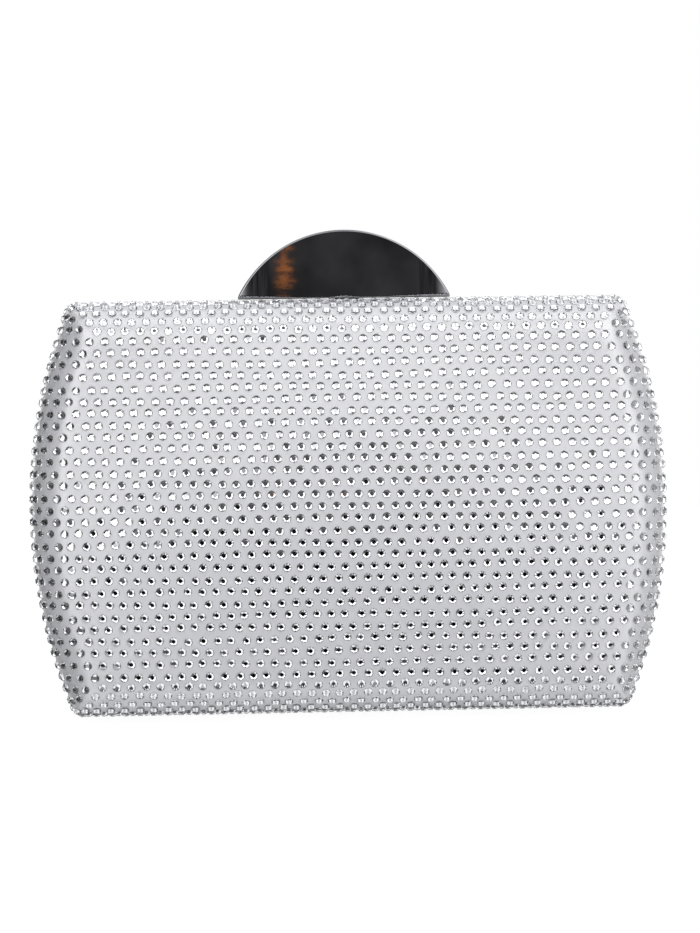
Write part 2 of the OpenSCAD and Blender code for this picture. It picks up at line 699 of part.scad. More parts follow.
rear_shell();
rear_padding();
rear_cover();
rear_stones();
rear_base_stones();
rear_board();
rear_lining();
rear_frame();
front_shell();
front_padding();
front_cover();
front_stones();
front_base_stones();
front_board();
front_lining();
front_frame();
rear_knuckles();
front_knuckles();
hinge_pins();
clasp_base();
clasp_plate();
latch_hook();
clasp_pin();
clasp_springs();
clasp_screws();
catch_plate();
catch_rivets();
slip_pocket();
chain_lugs();
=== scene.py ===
"""Looks of a hard-case evening bag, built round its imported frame.

The bag is a case of two halves with bowed sides, drawn over in satin and set all
over with small foil-backed stones, with a half-moon clasp on its top. Its sizes
are in millimetres, in the frame's own place, and become metres where a mesh is
made. The studio's are in metres.
"""

import logging
import math
from dataclasses import dataclass
from enum import Enum
from typing import Any

import bpy
import numpy as np
from mathutils import Matrix, Vector, noise


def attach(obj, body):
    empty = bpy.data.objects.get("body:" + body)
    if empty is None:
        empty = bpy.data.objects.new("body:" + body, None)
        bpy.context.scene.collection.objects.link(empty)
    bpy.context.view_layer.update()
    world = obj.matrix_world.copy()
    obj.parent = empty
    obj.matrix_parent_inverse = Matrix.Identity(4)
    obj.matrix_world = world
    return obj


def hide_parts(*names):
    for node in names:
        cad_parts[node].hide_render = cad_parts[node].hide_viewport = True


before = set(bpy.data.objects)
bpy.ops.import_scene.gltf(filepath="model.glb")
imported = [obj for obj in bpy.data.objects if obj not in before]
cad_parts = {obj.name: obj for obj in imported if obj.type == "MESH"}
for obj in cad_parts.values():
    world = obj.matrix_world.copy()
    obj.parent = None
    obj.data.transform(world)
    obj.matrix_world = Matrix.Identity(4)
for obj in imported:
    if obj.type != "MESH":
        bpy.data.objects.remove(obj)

log = logging.getLogger("bag")
MM = 0.001
WHITE = (1.0, 1.0, 1.0, 1.0)
# Closed lines of points, all of one count.
Rings = list[np.ndarray]
# Points, and the faces that join them by number.
Skin = tuple[np.ndarray, list[list[int]]]
# A place and a direction.
Spot = tuple[list[float], list[float]]
Tree = bpy.types.NodeTree
Thing = bpy.types.Object


class Half(Enum):
    """The two halves of the case, with the side of the seam that each lies on."""

    REAR = 1
    FRONT = -1

    @property
    def body(self) -> str:
        """The CAD body that the half rides on."""
        return self.name.lower()


# What strays the stones of each half, the same in every run.
SEEDS = {Half.REAR: 9, Half.FRONT: 4}


def linear(code: str) -> tuple[float, float, float, float]:
    """Turns an sRGB hex colour into the linear numbers that the shaders take.

    Args:
        code: six hex digits, with or without a hash.

    Returns:
        Red, green, blue and full alpha.
    """
    parts = [int(code.lstrip("#")[i : i + 2], 16) / 255 for i in (0, 2, 4)]
    made = [c / 12.92 if c <= 0.04045 else ((c + 0.055) / 1.055) ** 2.4 for c in parts]
    return (made[0], made[1], made[2], 1.0)


def put(tree: Tree, kind: str, settings: dict | None = None, inputs: dict | None = None) -> Any:
    """Adds one node, with its settings and what feeds its inputs.

    Args:
        tree: the tree that takes the node.
        kind: Blender's name for the node.
        settings: the node's own properties.
        inputs: what feeds each input, by name or number: a value, another node's output,
            or another node, which stands for its first output.

    Returns:
        The new node.
    """
    made = tree.nodes.new(kind)
    for name, value in (settings or {}).items():
        setattr(made, name, value)
    for key, value in (inputs or {}).items():
        if isinstance(value, bpy.types.Node):
            value = value.outputs[0]
        if isinstance(value, bpy.types.NodeSocket):
            tree.links.new(value, made.inputs[key])
        else:
            made.inputs[key].default_value = value
    return made


def per_mm(size_mm: float) -> float:
    """The scale of a texture on metres whose features are that many millimetres."""
    return 1 / (size_mm * MM)


def beside(*columns: Any) -> np.ndarray:
    """Stands lists of numbers side by side, with a lone number all the way down its column."""
    return np.column_stack(np.broadcast_arrays(*columns))


def placed(name: str, data: Any) -> Thing:
    """Puts a mesh, a camera or a lamp into the scene, at the origin.

    Args:
        name: its name.
        data: what it shows.

    Returns:
        The object.
    """
    made = bpy.data.objects.new(name, data)
    bpy.context.scene.collection.objects.link(made)
    return made


def meshed(name: str, points: np.ndarray, edges: list, faces: list) -> Thing:
    """Makes a mesh and puts it into the scene.

    Args:
        name: its name.
        points: its points, in metres.
        edges: pairs of point numbers, where it is a line.
        faces: lists of point numbers, turned outwards.

    Returns:
        The object.
    """
    mesh = bpy.data.meshes.new(name)
    mesh.from_pydata(np.asarray(points).tolist(), edges, faces)
    return placed(name, mesh)


def discard(thing: Thing) -> None:
    """Removes an object and its mesh.

    Args:
        thing: the object.
    """
    mesh = thing.data
    bpy.data.objects.remove(thing)
    bpy.data.meshes.remove(mesh)


def hand_over(made: Thing, body: str, slot: str, *nodes: str) -> None:
    """Says where a finished piece belongs, and reports it.

    Args:
        made: the piece.
        body: the CAD body that it rides on.
        slot: the record's material slot; not used.
        nodes: the CAD nodes that it stands for.
    """
    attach(made, body)
    if nodes:
        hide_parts(*nodes)
    log.info("%s", made.name)


@dataclass(frozen=True)
class Grain:
    """One noise of a finish: the size of its features, their depth and how they are drawn out."""

    size_mm: float
    depth_mm: float
    detail: float
    stretch: tuple[float, float, float] = (1.0, 1.0, 1.0)


@dataclass(frozen=True)
class Finish:
    """What every finish has: the real material's name, its colours and its gloss."""

    name: str
    colour: str
    roughness: float = 0.5
    metallic: float = 0.0
    ior: float = 1.5
    shade: str = "#808080"
    shade_share: float = 0.2
    shaded_by: int = 0
    dulled_by: int = 0
    wander: float = 0.08

    def grains(self) -> tuple[Grain, ...]:
        """The finish's noises, the deepest relief first; a plain finish has none."""
        return ()

    def dress(self, shader: Any) -> None:
        """Sets what only this finish has on its shader."""

    def material(self) -> bpy.types.Material:
        """Makes the finish's material once, and gives the same one each time.

        Returns:
            The material.
        """
        made = bpy.data.materials.get(self.name)
        if made is not None:
            return made
        made = bpy.data.materials.new(self.name)
        made.use_nodes = True
        made.diffuse_color = linear(self.colour)
        shader = made.node_tree.nodes["Principled BSDF"]
        shader.inputs["Base Color"].default_value = linear(self.colour)
        shader.inputs["Roughness"].default_value = self.roughness
        shader.inputs["Metallic"].default_value = self.metallic
        if not self.metallic:
            shader.inputs["IOR"].default_value = self.ior
        self.dress(shader)
        if self.grains():
            self.add_grains(made.node_tree, shader)
        return made

    def add_grains(self, tree: Tree, shader: Any) -> None:
        """Lets the finish's noises raise its surface, shade its colour and dull its gloss.

        Args:
            tree: the material's tree.
            shader: its shader.
        """
        place = put(tree, "ShaderNodeTexCoord").outputs["Object"]
        noises, raised = [], {}
        for grain in self.grains():
            drawn = put(tree, "ShaderNodeMapping", None, {"Vector": place, "Scale": grain.stretch})
            waves = {"Vector": drawn, "Scale": per_mm(grain.size_mm), "Detail": grain.detail}
            noises.append(put(tree, "ShaderNodeTexNoise", None, waves))
            bump = {"Height": noises[-1], "Distance": grain.depth_mm * MM, "Strength": 1.0, **raised}
            raised = {"Normal": put(tree, "ShaderNodeBump", None, bump)}
        share = put(tree, "ShaderNodeMath", {"operation": "MULTIPLY"},
                    {0: noises[self.shaded_by], 1: self.shade_share})
        mix = put(tree, "ShaderNodeMix", {"data_type": "RGBA"},
                  {"Factor": share, "A": linear(self.colour), "B": linear(self.shade)})
        low, high = self.roughness - self.wander, self.roughness + self.wander
        gloss = put(tree, "ShaderNodeMapRange", None,
                    {"Value": noises[self.dulled_by], "To Min": low, "To Max": high})
        tree.links.new(raised["Normal"].outputs["Normal"], shader.inputs["Normal"])
        tree.links.new(mix.outputs["Result"], shader.inputs["Base Color"])
        tree.links.new(gloss.outputs["Result"], shader.inputs["Roughness"])


@dataclass(frozen=True)
class WovenSatin(Finish):
    """Satin: long floats of a fine warp, which give a soft lengthwise gloss, unevenly dyed."""

    thread_mm: float = 0.3
    thread_depth_mm: float = 0.012
    floats: tuple[float, float, float] = (0.06, 1.0, 1.0)
    cloud_mm: float = 9.0
    cloud_depth_mm: float = 0.05
    bloom: float = 0.25
    bloom_roughness: float = 0.35
    shade: str = "#b9b9c2"
    shade_share: float = 0.3
    dulled_by: int = 1
    wander: float = 0.07

    def grains(self) -> tuple[Grain, ...]:
        """A faint cloud of uneven dye, and the warp."""
        return (
            Grain(self.cloud_mm, self.cloud_depth_mm, 2.0),
            Grain(self.thread_mm, self.thread_depth_mm, 1.0, self.floats),
        )

    def dress(self, shader: Any) -> None:
        """Adds the pale bloom of its fibres."""
        shader.inputs["Sheen Weight"].default_value = self.bloom
        shader.inputs["Sheen Roughness"].default_value = self.bloom_roughness
        shader.inputs["Sheen Tint"].default_value = linear("#ffffff")


@dataclass(frozen=True)
class CutGlass(Finish):
    """Clear lead-free crystal glass, pressed and fire-polished, so its facets are bright and sharp."""

    def dress(self, shader: Any) -> None:
        """Makes the glass clear."""
        shader.inputs["Transmission Weight"].default_value = 1.0


@dataclass(frozen=True)
class PlatedMetal(Finish):
    """Plated and polished metal: a mirror with a haze of fine rubs and a slight orange peel."""

    metallic: float = 1.0
    rub_mm: float = 0.25
    rub_depth_mm: float = 0.0006
    rub_way: tuple[float, float, float] = (0.12, 1.0, 1.0)
    peel_mm: float = 7.0
    peel_depth_mm: float = 0.004
    shade: str = "#9b9b9b"
    shaded_by: int = 1

    def grains(self) -> tuple[Grain, ...]:
        """The slow swell left by the wheel, and rubs that run lengthwise."""
        return (
            Grain(self.peel_mm, self.peel_depth_mm, 1.0),
            Grain(self.rub_mm, self.rub_depth_mm, 3.0, self.rub_way),
        )


@dataclass(frozen=True)
class Grained(Finish):
    """A matt material with a fine grain, such as moulded plastic, board or foam."""

    grain_mm: float = 0.4
    grain_depth_mm: float = 0.02
    shade_share: float = 0.25
    stretch: tuple[float, float, float] = (1.0, 1.0, 1.0)

    def grains(self) -> tuple[Grain, ...]:
        """The grain alone."""
        return (Grain(self.grain_mm, self.grain_depth_mm, 4.0, self.stretch),)


# Polyester satin, woven in long floats and drawn tight: a cool pale grey with a soft gloss. Its high
# IOR is above polyester's own, for a brighter gloss than a smooth sheet of it would have.
COVER_SATIN = WovenSatin("satin_cover", "#dcdce1", 0.32, ior=2.6, bloom=0.0, thread_depth_mm=0.006)
# The same kind of cloth, lighter and slacker, glued over board inside.
LINING_SATIN = WovenSatin(
    "satin_lining", "#c6c6ce", 0.48, thread_mm=0.35, thread_depth_mm=0.02, shade="#9d9da8"
)
# Pressed glass with a clean edge; the foil behind it does the shining.
STONE_GLASS = CutGlass("glass_cut_clear", "#f7f8fb", 0.0, ior=1.56)
# Silver foil under lacquer on the stone's flat back: a near-perfect mirror.
STONE_FOIL = Finish("foil_silver", "#fbfbfc", 0.05, 1.0)
# Bright nickel plate over zinc, buffed: the frames, the knuckles and the clasp's bar.
NICKEL = PlatedMetal("nickel_polished", "#cfcdc9", 0.12, wander=0.072)
# Dark nickel plate, buffed to a mirror: the half-moon shows the room more than itself.
DARK_NICKEL = PlatedMetal(
    "nickel_dark_mirror", "#8f8f93", 0.012, wander=0.0072,
    rub_depth_mm=0.0002, peel_depth_mm=0.0012, shade="#848489",
)
# Drawn steel wire and pressed strip, barely polished.
STEEL = PlatedMetal("steel_bright", "#a7a8aa", 0.24, wander=0.144, rub_mm=0.12, rub_depth_mm=0.002)
# Moulded ABS with a spark-eroded grain; nobody sees it once the bag is covered.
ABS = Grained("abs_moulded", "#4b4d50", 0.55, grain_mm=0.5, grain_depth_mm=0.015, shade="#3c3e41")
# Polyurethane foam, slit from a block: an open, matt, chalky cell.
FOAM = Grained("foam_polyurethane", "#e8e0cf", 0.9, grain_mm=0.7, grain_depth_mm=0.12, shade="#bdb39c")
# Grey board: short fibres pressed flat, with flecks.
CARD = Grained(
    "board_grey", "#9c9182", 0.85,
    grain_mm=0.6, grain_depth_mm=0.03, shade="#6f665a", stretch=(1, 1, 0.4),
)
# Spun polyester thread, slightly brighter than the cloth it sews.
THREAD = Grained("thread_polyester", "#dadae0", 0.6, grain_mm=0.15, shade="#a9a9b2")


def piece(name: str, points: np.ndarray, faces: list, finish: Finish) -> Thing:
    """Makes a smooth piece from points in millimetres.

    Args:
        name: the piece's name.
        points: its points.
        faces: lists of point numbers, turned outwards.
        finish: its finish.

    Returns:
        The object, at the origin.
    """
    made = meshed(name, np.asarray(points) * MM, [], faces)
    made.data.materials.append(finish.material())
    made.data.polygons.foreach_set("use_smooth", [True] * len(faces))
    made.data.update()
    return made


def stack(rings: Rings, start: np.ndarray | None, end: np.ndarray) -> Skin:
    """Joins closed rings of equal count into a skin, with a point at either end where given.

    Args:
        rings: the rings, in order.
        start: the point that closes the first ring, or None.
        end: the point that closes the last ring.

    Returns:
        The points and the faces.
    """
    n = len(rings[0])
    points = np.concatenate(rings)
    faces = [
        [k + i, k + (i + 1) % n, k + n + (i + 1) % n, k + n + i]
        for k in range(0, (len(rings) - 1) * n, n)
        for i in range(n)
    ]
    if start is not None:
        points = np.vstack([points, start])
        faces += [[len(points) - 1, (i + 1) % n, i] for i in range(n)]
    points = np.vstack([points, end])
    last = (len(rings) - 1) * n
    faces += [[len(points) - 1, last + i, last + (i + 1) % n] for i in range(n)]
    return points, faces


def slab_faces(rows: int, n: int) -> list[list[int]]:
    """Joins two grids of points, the front one's numbered first, into a closed slab.

    Args:
        rows: how many rows each grid has, from the top down; where they run up, the caller
            turns the faces.
        n: how many points a row has, from left to right.

    Returns:
        The faces, turned outwards.
    """
    gap, last = rows * n, (rows - 1) * n
    faces = []
    for k in range(0, last, n):
        for a in range(k, k + n - 1):
            faces += [[a, a + n, a + n + 1, a + 1], [gap + a, gap + a + 1, gap + a + n + 1, gap + a + n]]
        a = k + n - 1
        faces += [[k, gap + k, gap + k + n, k + n], [a, a + n, gap + a + n, gap + a]]
    faces += [[a, a + 1, gap + a + 1, gap + a] for a in range(n - 1)]
    return faces + [[a, gap + a, gap + a + 1, a + 1] for a in range(last, last + n - 1)]


def rippled(points: np.ndarray, size_mm: float, depth_mm: float) -> np.ndarray:
    """Smooth noise from 0 to minus depth at each point, for a surface that isn't quite even."""
    return np.array([(noise.noise(Vector(p / size_mm)) - 1) * 0.5 * depth_mm for p in points])


@dataclass
class CaseForm:
    """The shape of one half of the case, with the sizes of the CAD."""

    width: float = 183.0
    height: float = 118.0
    depth: float = 48.0
    side_r: float = 156.0
    corner_r: float = 3.0
    corner_least: float = 0.6
    corner_soft: float = 0.25
    edge_r: float = 11.0
    crown: float = 2.5
    middle_z: float = 59.98
    seam_y: float = 1.55
    ripple_mm: float = 14.0
    ripple_shift: float = 50.0
    side_steps: int = 30
    corner_steps: int = 6
    flat_steps: int = 36
    roll_steps: int = 12
    crown_steps: int = 16

    def __post_init__(self) -> None:
        """Works out the sizes that follow from the others."""
        self.half_h = self.height / 2
        self.half_d = self.depth / 2
        self.side_off = self.side_r - self.width / 2
        self.edge_y = self.half_d - self.crown - self.edge_r
        self.face_w = self.width / 2 - self.edge_r
        self.face_h = self.half_h - self.edge_r
        self.roll = math.pi / 2 * self.edge_r

    def outline(self, inset: float, soft: float) -> np.ndarray:
        """The case's outline in X and Z, drawn in.

        Args:
            inset: how far it is drawn in.
            soft: the radius of its corners.

        Returns:
            Its points, anticlockwise as seen from the front, from the right-hand side.
        """
        z = self.half_h - inset - soft
        x = math.sqrt((self.side_r - inset - soft) ** 2 - z * z) - self.side_off
        turn = math.atan2(z, x + self.side_off)
        side = np.linspace(0, turn, self.side_steps + 1)
        bend = np.linspace(turn, math.pi / 2, self.corner_steps + 1)[1:]
        flat = np.linspace(x, 0, self.flat_steps + 1)[1:]
        quarter = np.concatenate([
            beside(np.cos(side), np.sin(side)) * (self.side_r - inset) - [self.side_off, 0],
            beside(np.cos(bend), np.sin(bend)) * soft + [x, z],
            beside(flat, self.half_h - inset),
        ])
        left = quarter[-2::-1] * [-1, 1]
        return np.concatenate([quarter, left, -quarter[1:], -left[1:-1]])

    def crown_at(self, x: np.ndarray, z: np.ndarray) -> np.ndarray:
        """How far the face has dropped from its middle at a place, up to the whole crown.

        Args:
            x: the distance from the middle.
            z: the height above the middle.

        Returns:
            The drop.
        """
        sx = (np.hypot(np.abs(x) + self.side_off, z) - self.side_off) / self.face_w
        sz = np.abs(z) / self.face_h
        return self.crown * (1 - (1 - np.clip(sx, 0, 1) ** 2) * (1 - np.clip(sz, 0, 1) ** 2))

    def over_edge(self, t: float) -> tuple[float, float, float]:
        """Follows the rolled edge, and then the wall, outwards from the face.

        Args:
            t: the distance past the face's edge, along the surface.

        Returns:
            The tilt there, how far it still lies within the outline, and its Y.
        """
        tilt = min(t, self.roll) / self.edge_r
        y = self.edge_y + self.edge_r * math.cos(tilt) - max(t - self.roll, 0)
        return tilt, self.edge_r * (1 - math.sin(tilt)), y

    def row_end(self, inset: float, margin: float) -> float:
        """Where a row on the top or bottom ends: at a margin from the mitre with the side."""
        z = self.half_h - inset
        return math.sqrt((self.side_r - inset - margin) ** 2 - z * z) - self.side_off

    def skin(self, inset: float) -> Rings:
        """Rings of the surface at a depth below the satin's outside, from the seam to the middle.

        Args:
            inset: the depth.

        Returns:
            The rings, about the case's own middle.
        """
        corner = max(self.corner_r - inset, self.corner_least)
        lines = [(inset, self.seam_y), (inset, (self.seam_y + self.edge_y) / 2)]
        for k in range(self.roll_steps + 1):
            tilt = math.pi / 2 * k / self.roll_steps
            u = self.edge_r - (self.edge_r - inset) * math.cos(tilt)
            lines.append((u, self.edge_y + (self.edge_r - inset) * math.sin(tilt)))
        rings = []
        for u, y in lines:
            line = self.outline(u, corner + self.corner_soft * u)
            rings.append(beside(line[:, 0], y, line[:, 1]))
        rim = self.outline(self.edge_r, corner + self.corner_soft * self.edge_r)
        for k in range(self.crown_steps - 1, 0, -1):
            line = rim * k / self.crown_steps
            y = self.half_d - inset - self.crown_at(line[:, 0], line[:, 1])
            rings.append(beside(line[:, 0], y, line[:, 1]))
        return rings

    def shell(
        self, name: str, half: Half, depths: tuple[float, float], finish: Finish, ripple: float
    ) -> Thing:
        """Makes a closed skin of one half between two depths.

        Args:
            name: the piece's name.
            half: which half.
            depths: the depths of its outside and its inside.
            finish: its finish.
            ripple: how uneven its surface is, in millimetres.

        Returns:
            The piece.
        """
        out, into = self.skin(depths[0]), self.skin(depths[1])
        for rings, shift in ((out, 0.0), (into, self.ripple_shift)):
            for ring in rings[1:]:
                ring[:, 1] += rippled(ring + shift, self.ripple_mm, ripple)
        points, faces = stack(
            [*reversed(into), *out],
            np.array([0, self.half_d - depths[1] - ripple / 2, 0]),
            np.array([0, self.half_d - depths[0] - ripple / 2, 0]),
        )
        points = points * [1, half.value, 1] + [0, 0, self.middle_z]
        if half is Half.REAR:
            faces = [f[::-1] for f in faces]
        return piece(name, points, faces, finish)

    def area_mm2(self, inset: float) -> float:
        """Measures the skin at a depth.

        Args:
            inset: the depth.

        Returns:
            Its area, in square millimetres.
        """
        points, faces = stack(self.skin(inset), None, np.array([0, self.half_d - inset, 0]))
        total = 0.0
        for f in faces:
            for i in range(1, len(f) - 1):
                a, b, c = points[f[0]], points[f[i]], points[f[i + 1]]
                total += float(np.linalg.norm(np.cross(b - a, c - a))) / 2
        return total


class GrowingTree:
    """A Geometry Nodes tree, which is made once and runs on a carrier."""

    NAME = ""
    INPUTS: tuple[tuple[str, str], ...] = ()

    @classmethod
    def fill(cls, made: Tree, given: Any) -> Any:
        """Adds the tree's nodes, and gives the one that ends it."""
        raise NotImplementedError

    @classmethod
    def tree(cls) -> Tree:
        """Builds the tree once, and gives the same one each time.

        Returns:
            The tree.
        """
        made = bpy.data.node_groups.get(cls.NAME)
        if made is None:
            made = bpy.data.node_groups.new(cls.NAME, "GeometryNodeTree")
            for name, kind in (("Geometry", "Geometry"), *cls.INPUTS):
                made.interface.new_socket(name, in_out="INPUT", socket_type=f"NodeSocket{kind}")
            made.interface.new_socket("Geometry", in_out="OUTPUT", socket_type="NodeSocketGeometry")
            end = cls.fill(made, put(made, "NodeGroupInput").outputs)
            put(made, "NodeGroupOutput", None, {0: end})
        return made

    @classmethod
    def grow(cls, carrier: Thing, values: dict, name: str) -> Thing:
        """Runs the tree on a carrier and keeps the result as a plain mesh.

        Args:
            carrier: the object that the tree starts from, which is removed.
            values: the tree's inputs, by name.
            name: the new piece's name.

        Returns:
            The new piece.
        """
        tree = cls.tree()
        modifier = carrier.modifiers.new(tree.name, "NODES")
        modifier.node_group = tree
        for socket in tree.interface.items_tree:
            if socket.item_type == "SOCKET" and socket.in_out == "INPUT" and socket.name in values:
                modifier[socket.identifier] = values[socket.name]
        bpy.context.view_layer.update()
        shown = carrier.evaluated_get(bpy.context.evaluated_depsgraph_get())
        mesh = bpy.data.meshes.new_from_object(shown)
        mesh.name = name
        carrier.modifiers.clear()
        discard(carrier)
        return placed(name, mesh)


class SettingTree(GrowingTree):
    """Sets a cut stone on every marked place, each a little different, with its seeds fixed."""

    NAME = "stone_setting"
    INPUTS = (
        ("Stone", "Object"),
        ("Diameter", "Float"),
        ("Height", "Float"),
        ("Size spread", "Float"),
        ("Lean", "Float"),
        ("Glass", "Material"),
        ("Foil", "Material"),
    )

    @classmethod
    def fill(cls, made: Tree, given: Any) -> Any:
        """Adds the nodes: turn, lean and size for each stone, then its glass and its foil.

        Args:
            made: the tree.
            given: its inputs.

        Returns:
            The node that ends it.
        """
        stone = put(made, "GeometryNodeObjectInfo", None, {"Object": given["Stone"]})
        named, vectors = "GeometryNodeInputNamedAttribute", {"data_type": "FLOAT_VECTOR"}
        facing = put(made, named, vectors, {"Name": "facing"})
        upright = put(made, "FunctionNodeAlignRotationToVector", {"axis": "Z"},
                      {"Vector": facing.outputs["Attribute"]})
        least, most = (
            put(made, "ShaderNodeVectorMath", {"operation": "SCALE"},
                {0: (way, way, 0.0), "Scale": given["Lean"]})
            for way in (-1.0, 1.0)
        )
        turned = put(made, "ShaderNodeVectorMath", {"operation": "ADD"}, {0: most, 1: (0.0, 0.0, math.tau)})
        lean = put(made, "FunctionNodeRandomValue", vectors, {0: least, 1: turned, "Seed": 11})
        spin = put(made, "FunctionNodeEulerToRotation", None, {0: lean})
        set_in = put(made, "FunctionNodeRotateRotation", {"rotation_space": "LOCAL"}, {0: upright, 1: spin})
        spread = put(made, "ShaderNodeMath", {"operation": "MULTIPLY"}, {0: given["Size spread"], 1: -1.0})
        size = put(made, "FunctionNodeRandomValue", {"data_type": "FLOAT"}, {2: spread, 3: 0.0, "Seed": 23})
        wide = put(made, "ShaderNodeMath", {"operation": "MULTIPLY_ADD"},
                   {0: size.outputs[1], 1: given["Diameter"], 2: given["Diameter"]})
        scale = put(made, "ShaderNodeCombineXYZ", None, {0: wide, 1: wide, 2: given["Height"]})
        each = put(made, "GeometryNodeInstanceOnPoints", None, {
            "Points": given["Geometry"], "Instance": stone.outputs["Geometry"],
            "Rotation": set_in, "Scale": scale,
        })
        real = put(made, "GeometryNodeRealizeInstances", None, {"Geometry": each})
        glass = put(made, "GeometryNodeSetMaterial", None, {"Geometry": real, "Material": given["Glass"]})
        back = put(made, named, {"data_type": "BOOLEAN"}, {"Name": "foil"})
        foil = put(made, "GeometryNodeSetMaterial", None, {
            "Geometry": glass, "Selection": back.outputs["Attribute"], "Material": given["Foil"],
        })
        return foil


class StitchTree(GrowingTree):
    """Lays a running stitch along a line."""

    NAME = "running_stitch"
    INPUTS = (("Pitch", "Float"), ("Length", "Float"), ("Thread radius", "Float"), ("Thread", "Material"))

    @classmethod
    def fill(cls, made: Tree, given: Any) -> Any:
        """Adds the nodes: marks along the line, and a drawn-out bead of thread on each.

        Args:
            made: the tree.
            given: its inputs.

        Returns:
            The node that ends it.
        """
        line = put(made, "GeometryNodeMeshToCurve", None, {0: given["Geometry"]})
        marks = put(made, "GeometryNodeCurveToPoints", {"mode": "LENGTH"},
                    {"Curve": line, "Length": given["Pitch"]})
        half = put(made, "ShaderNodeMath", {"operation": "MULTIPLY"}, {0: given["Length"], 1: 0.5})
        shape = put(made, "ShaderNodeCombineXYZ", None,
                    {0: given["Thread radius"], 1: given["Thread radius"], 2: half})
        bead = put(made, "GeometryNodeMeshUVSphere", None, {"Segments": 6, "Rings": 5, "Radius": 1.0})
        sewn = put(made, "GeometryNodeInstanceOnPoints", None, {
            "Points": marks.outputs["Points"], "Instance": bead,
            "Rotation": marks.outputs["Rotation"], "Scale": shape,
        })
        real = put(made, "GeometryNodeRealizeInstances", None, {"Geometry": sewn})
        thread = put(made, "GeometryNodeSetMaterial", None, {"Geometry": real, "Material": given["Thread"]})
        return thread


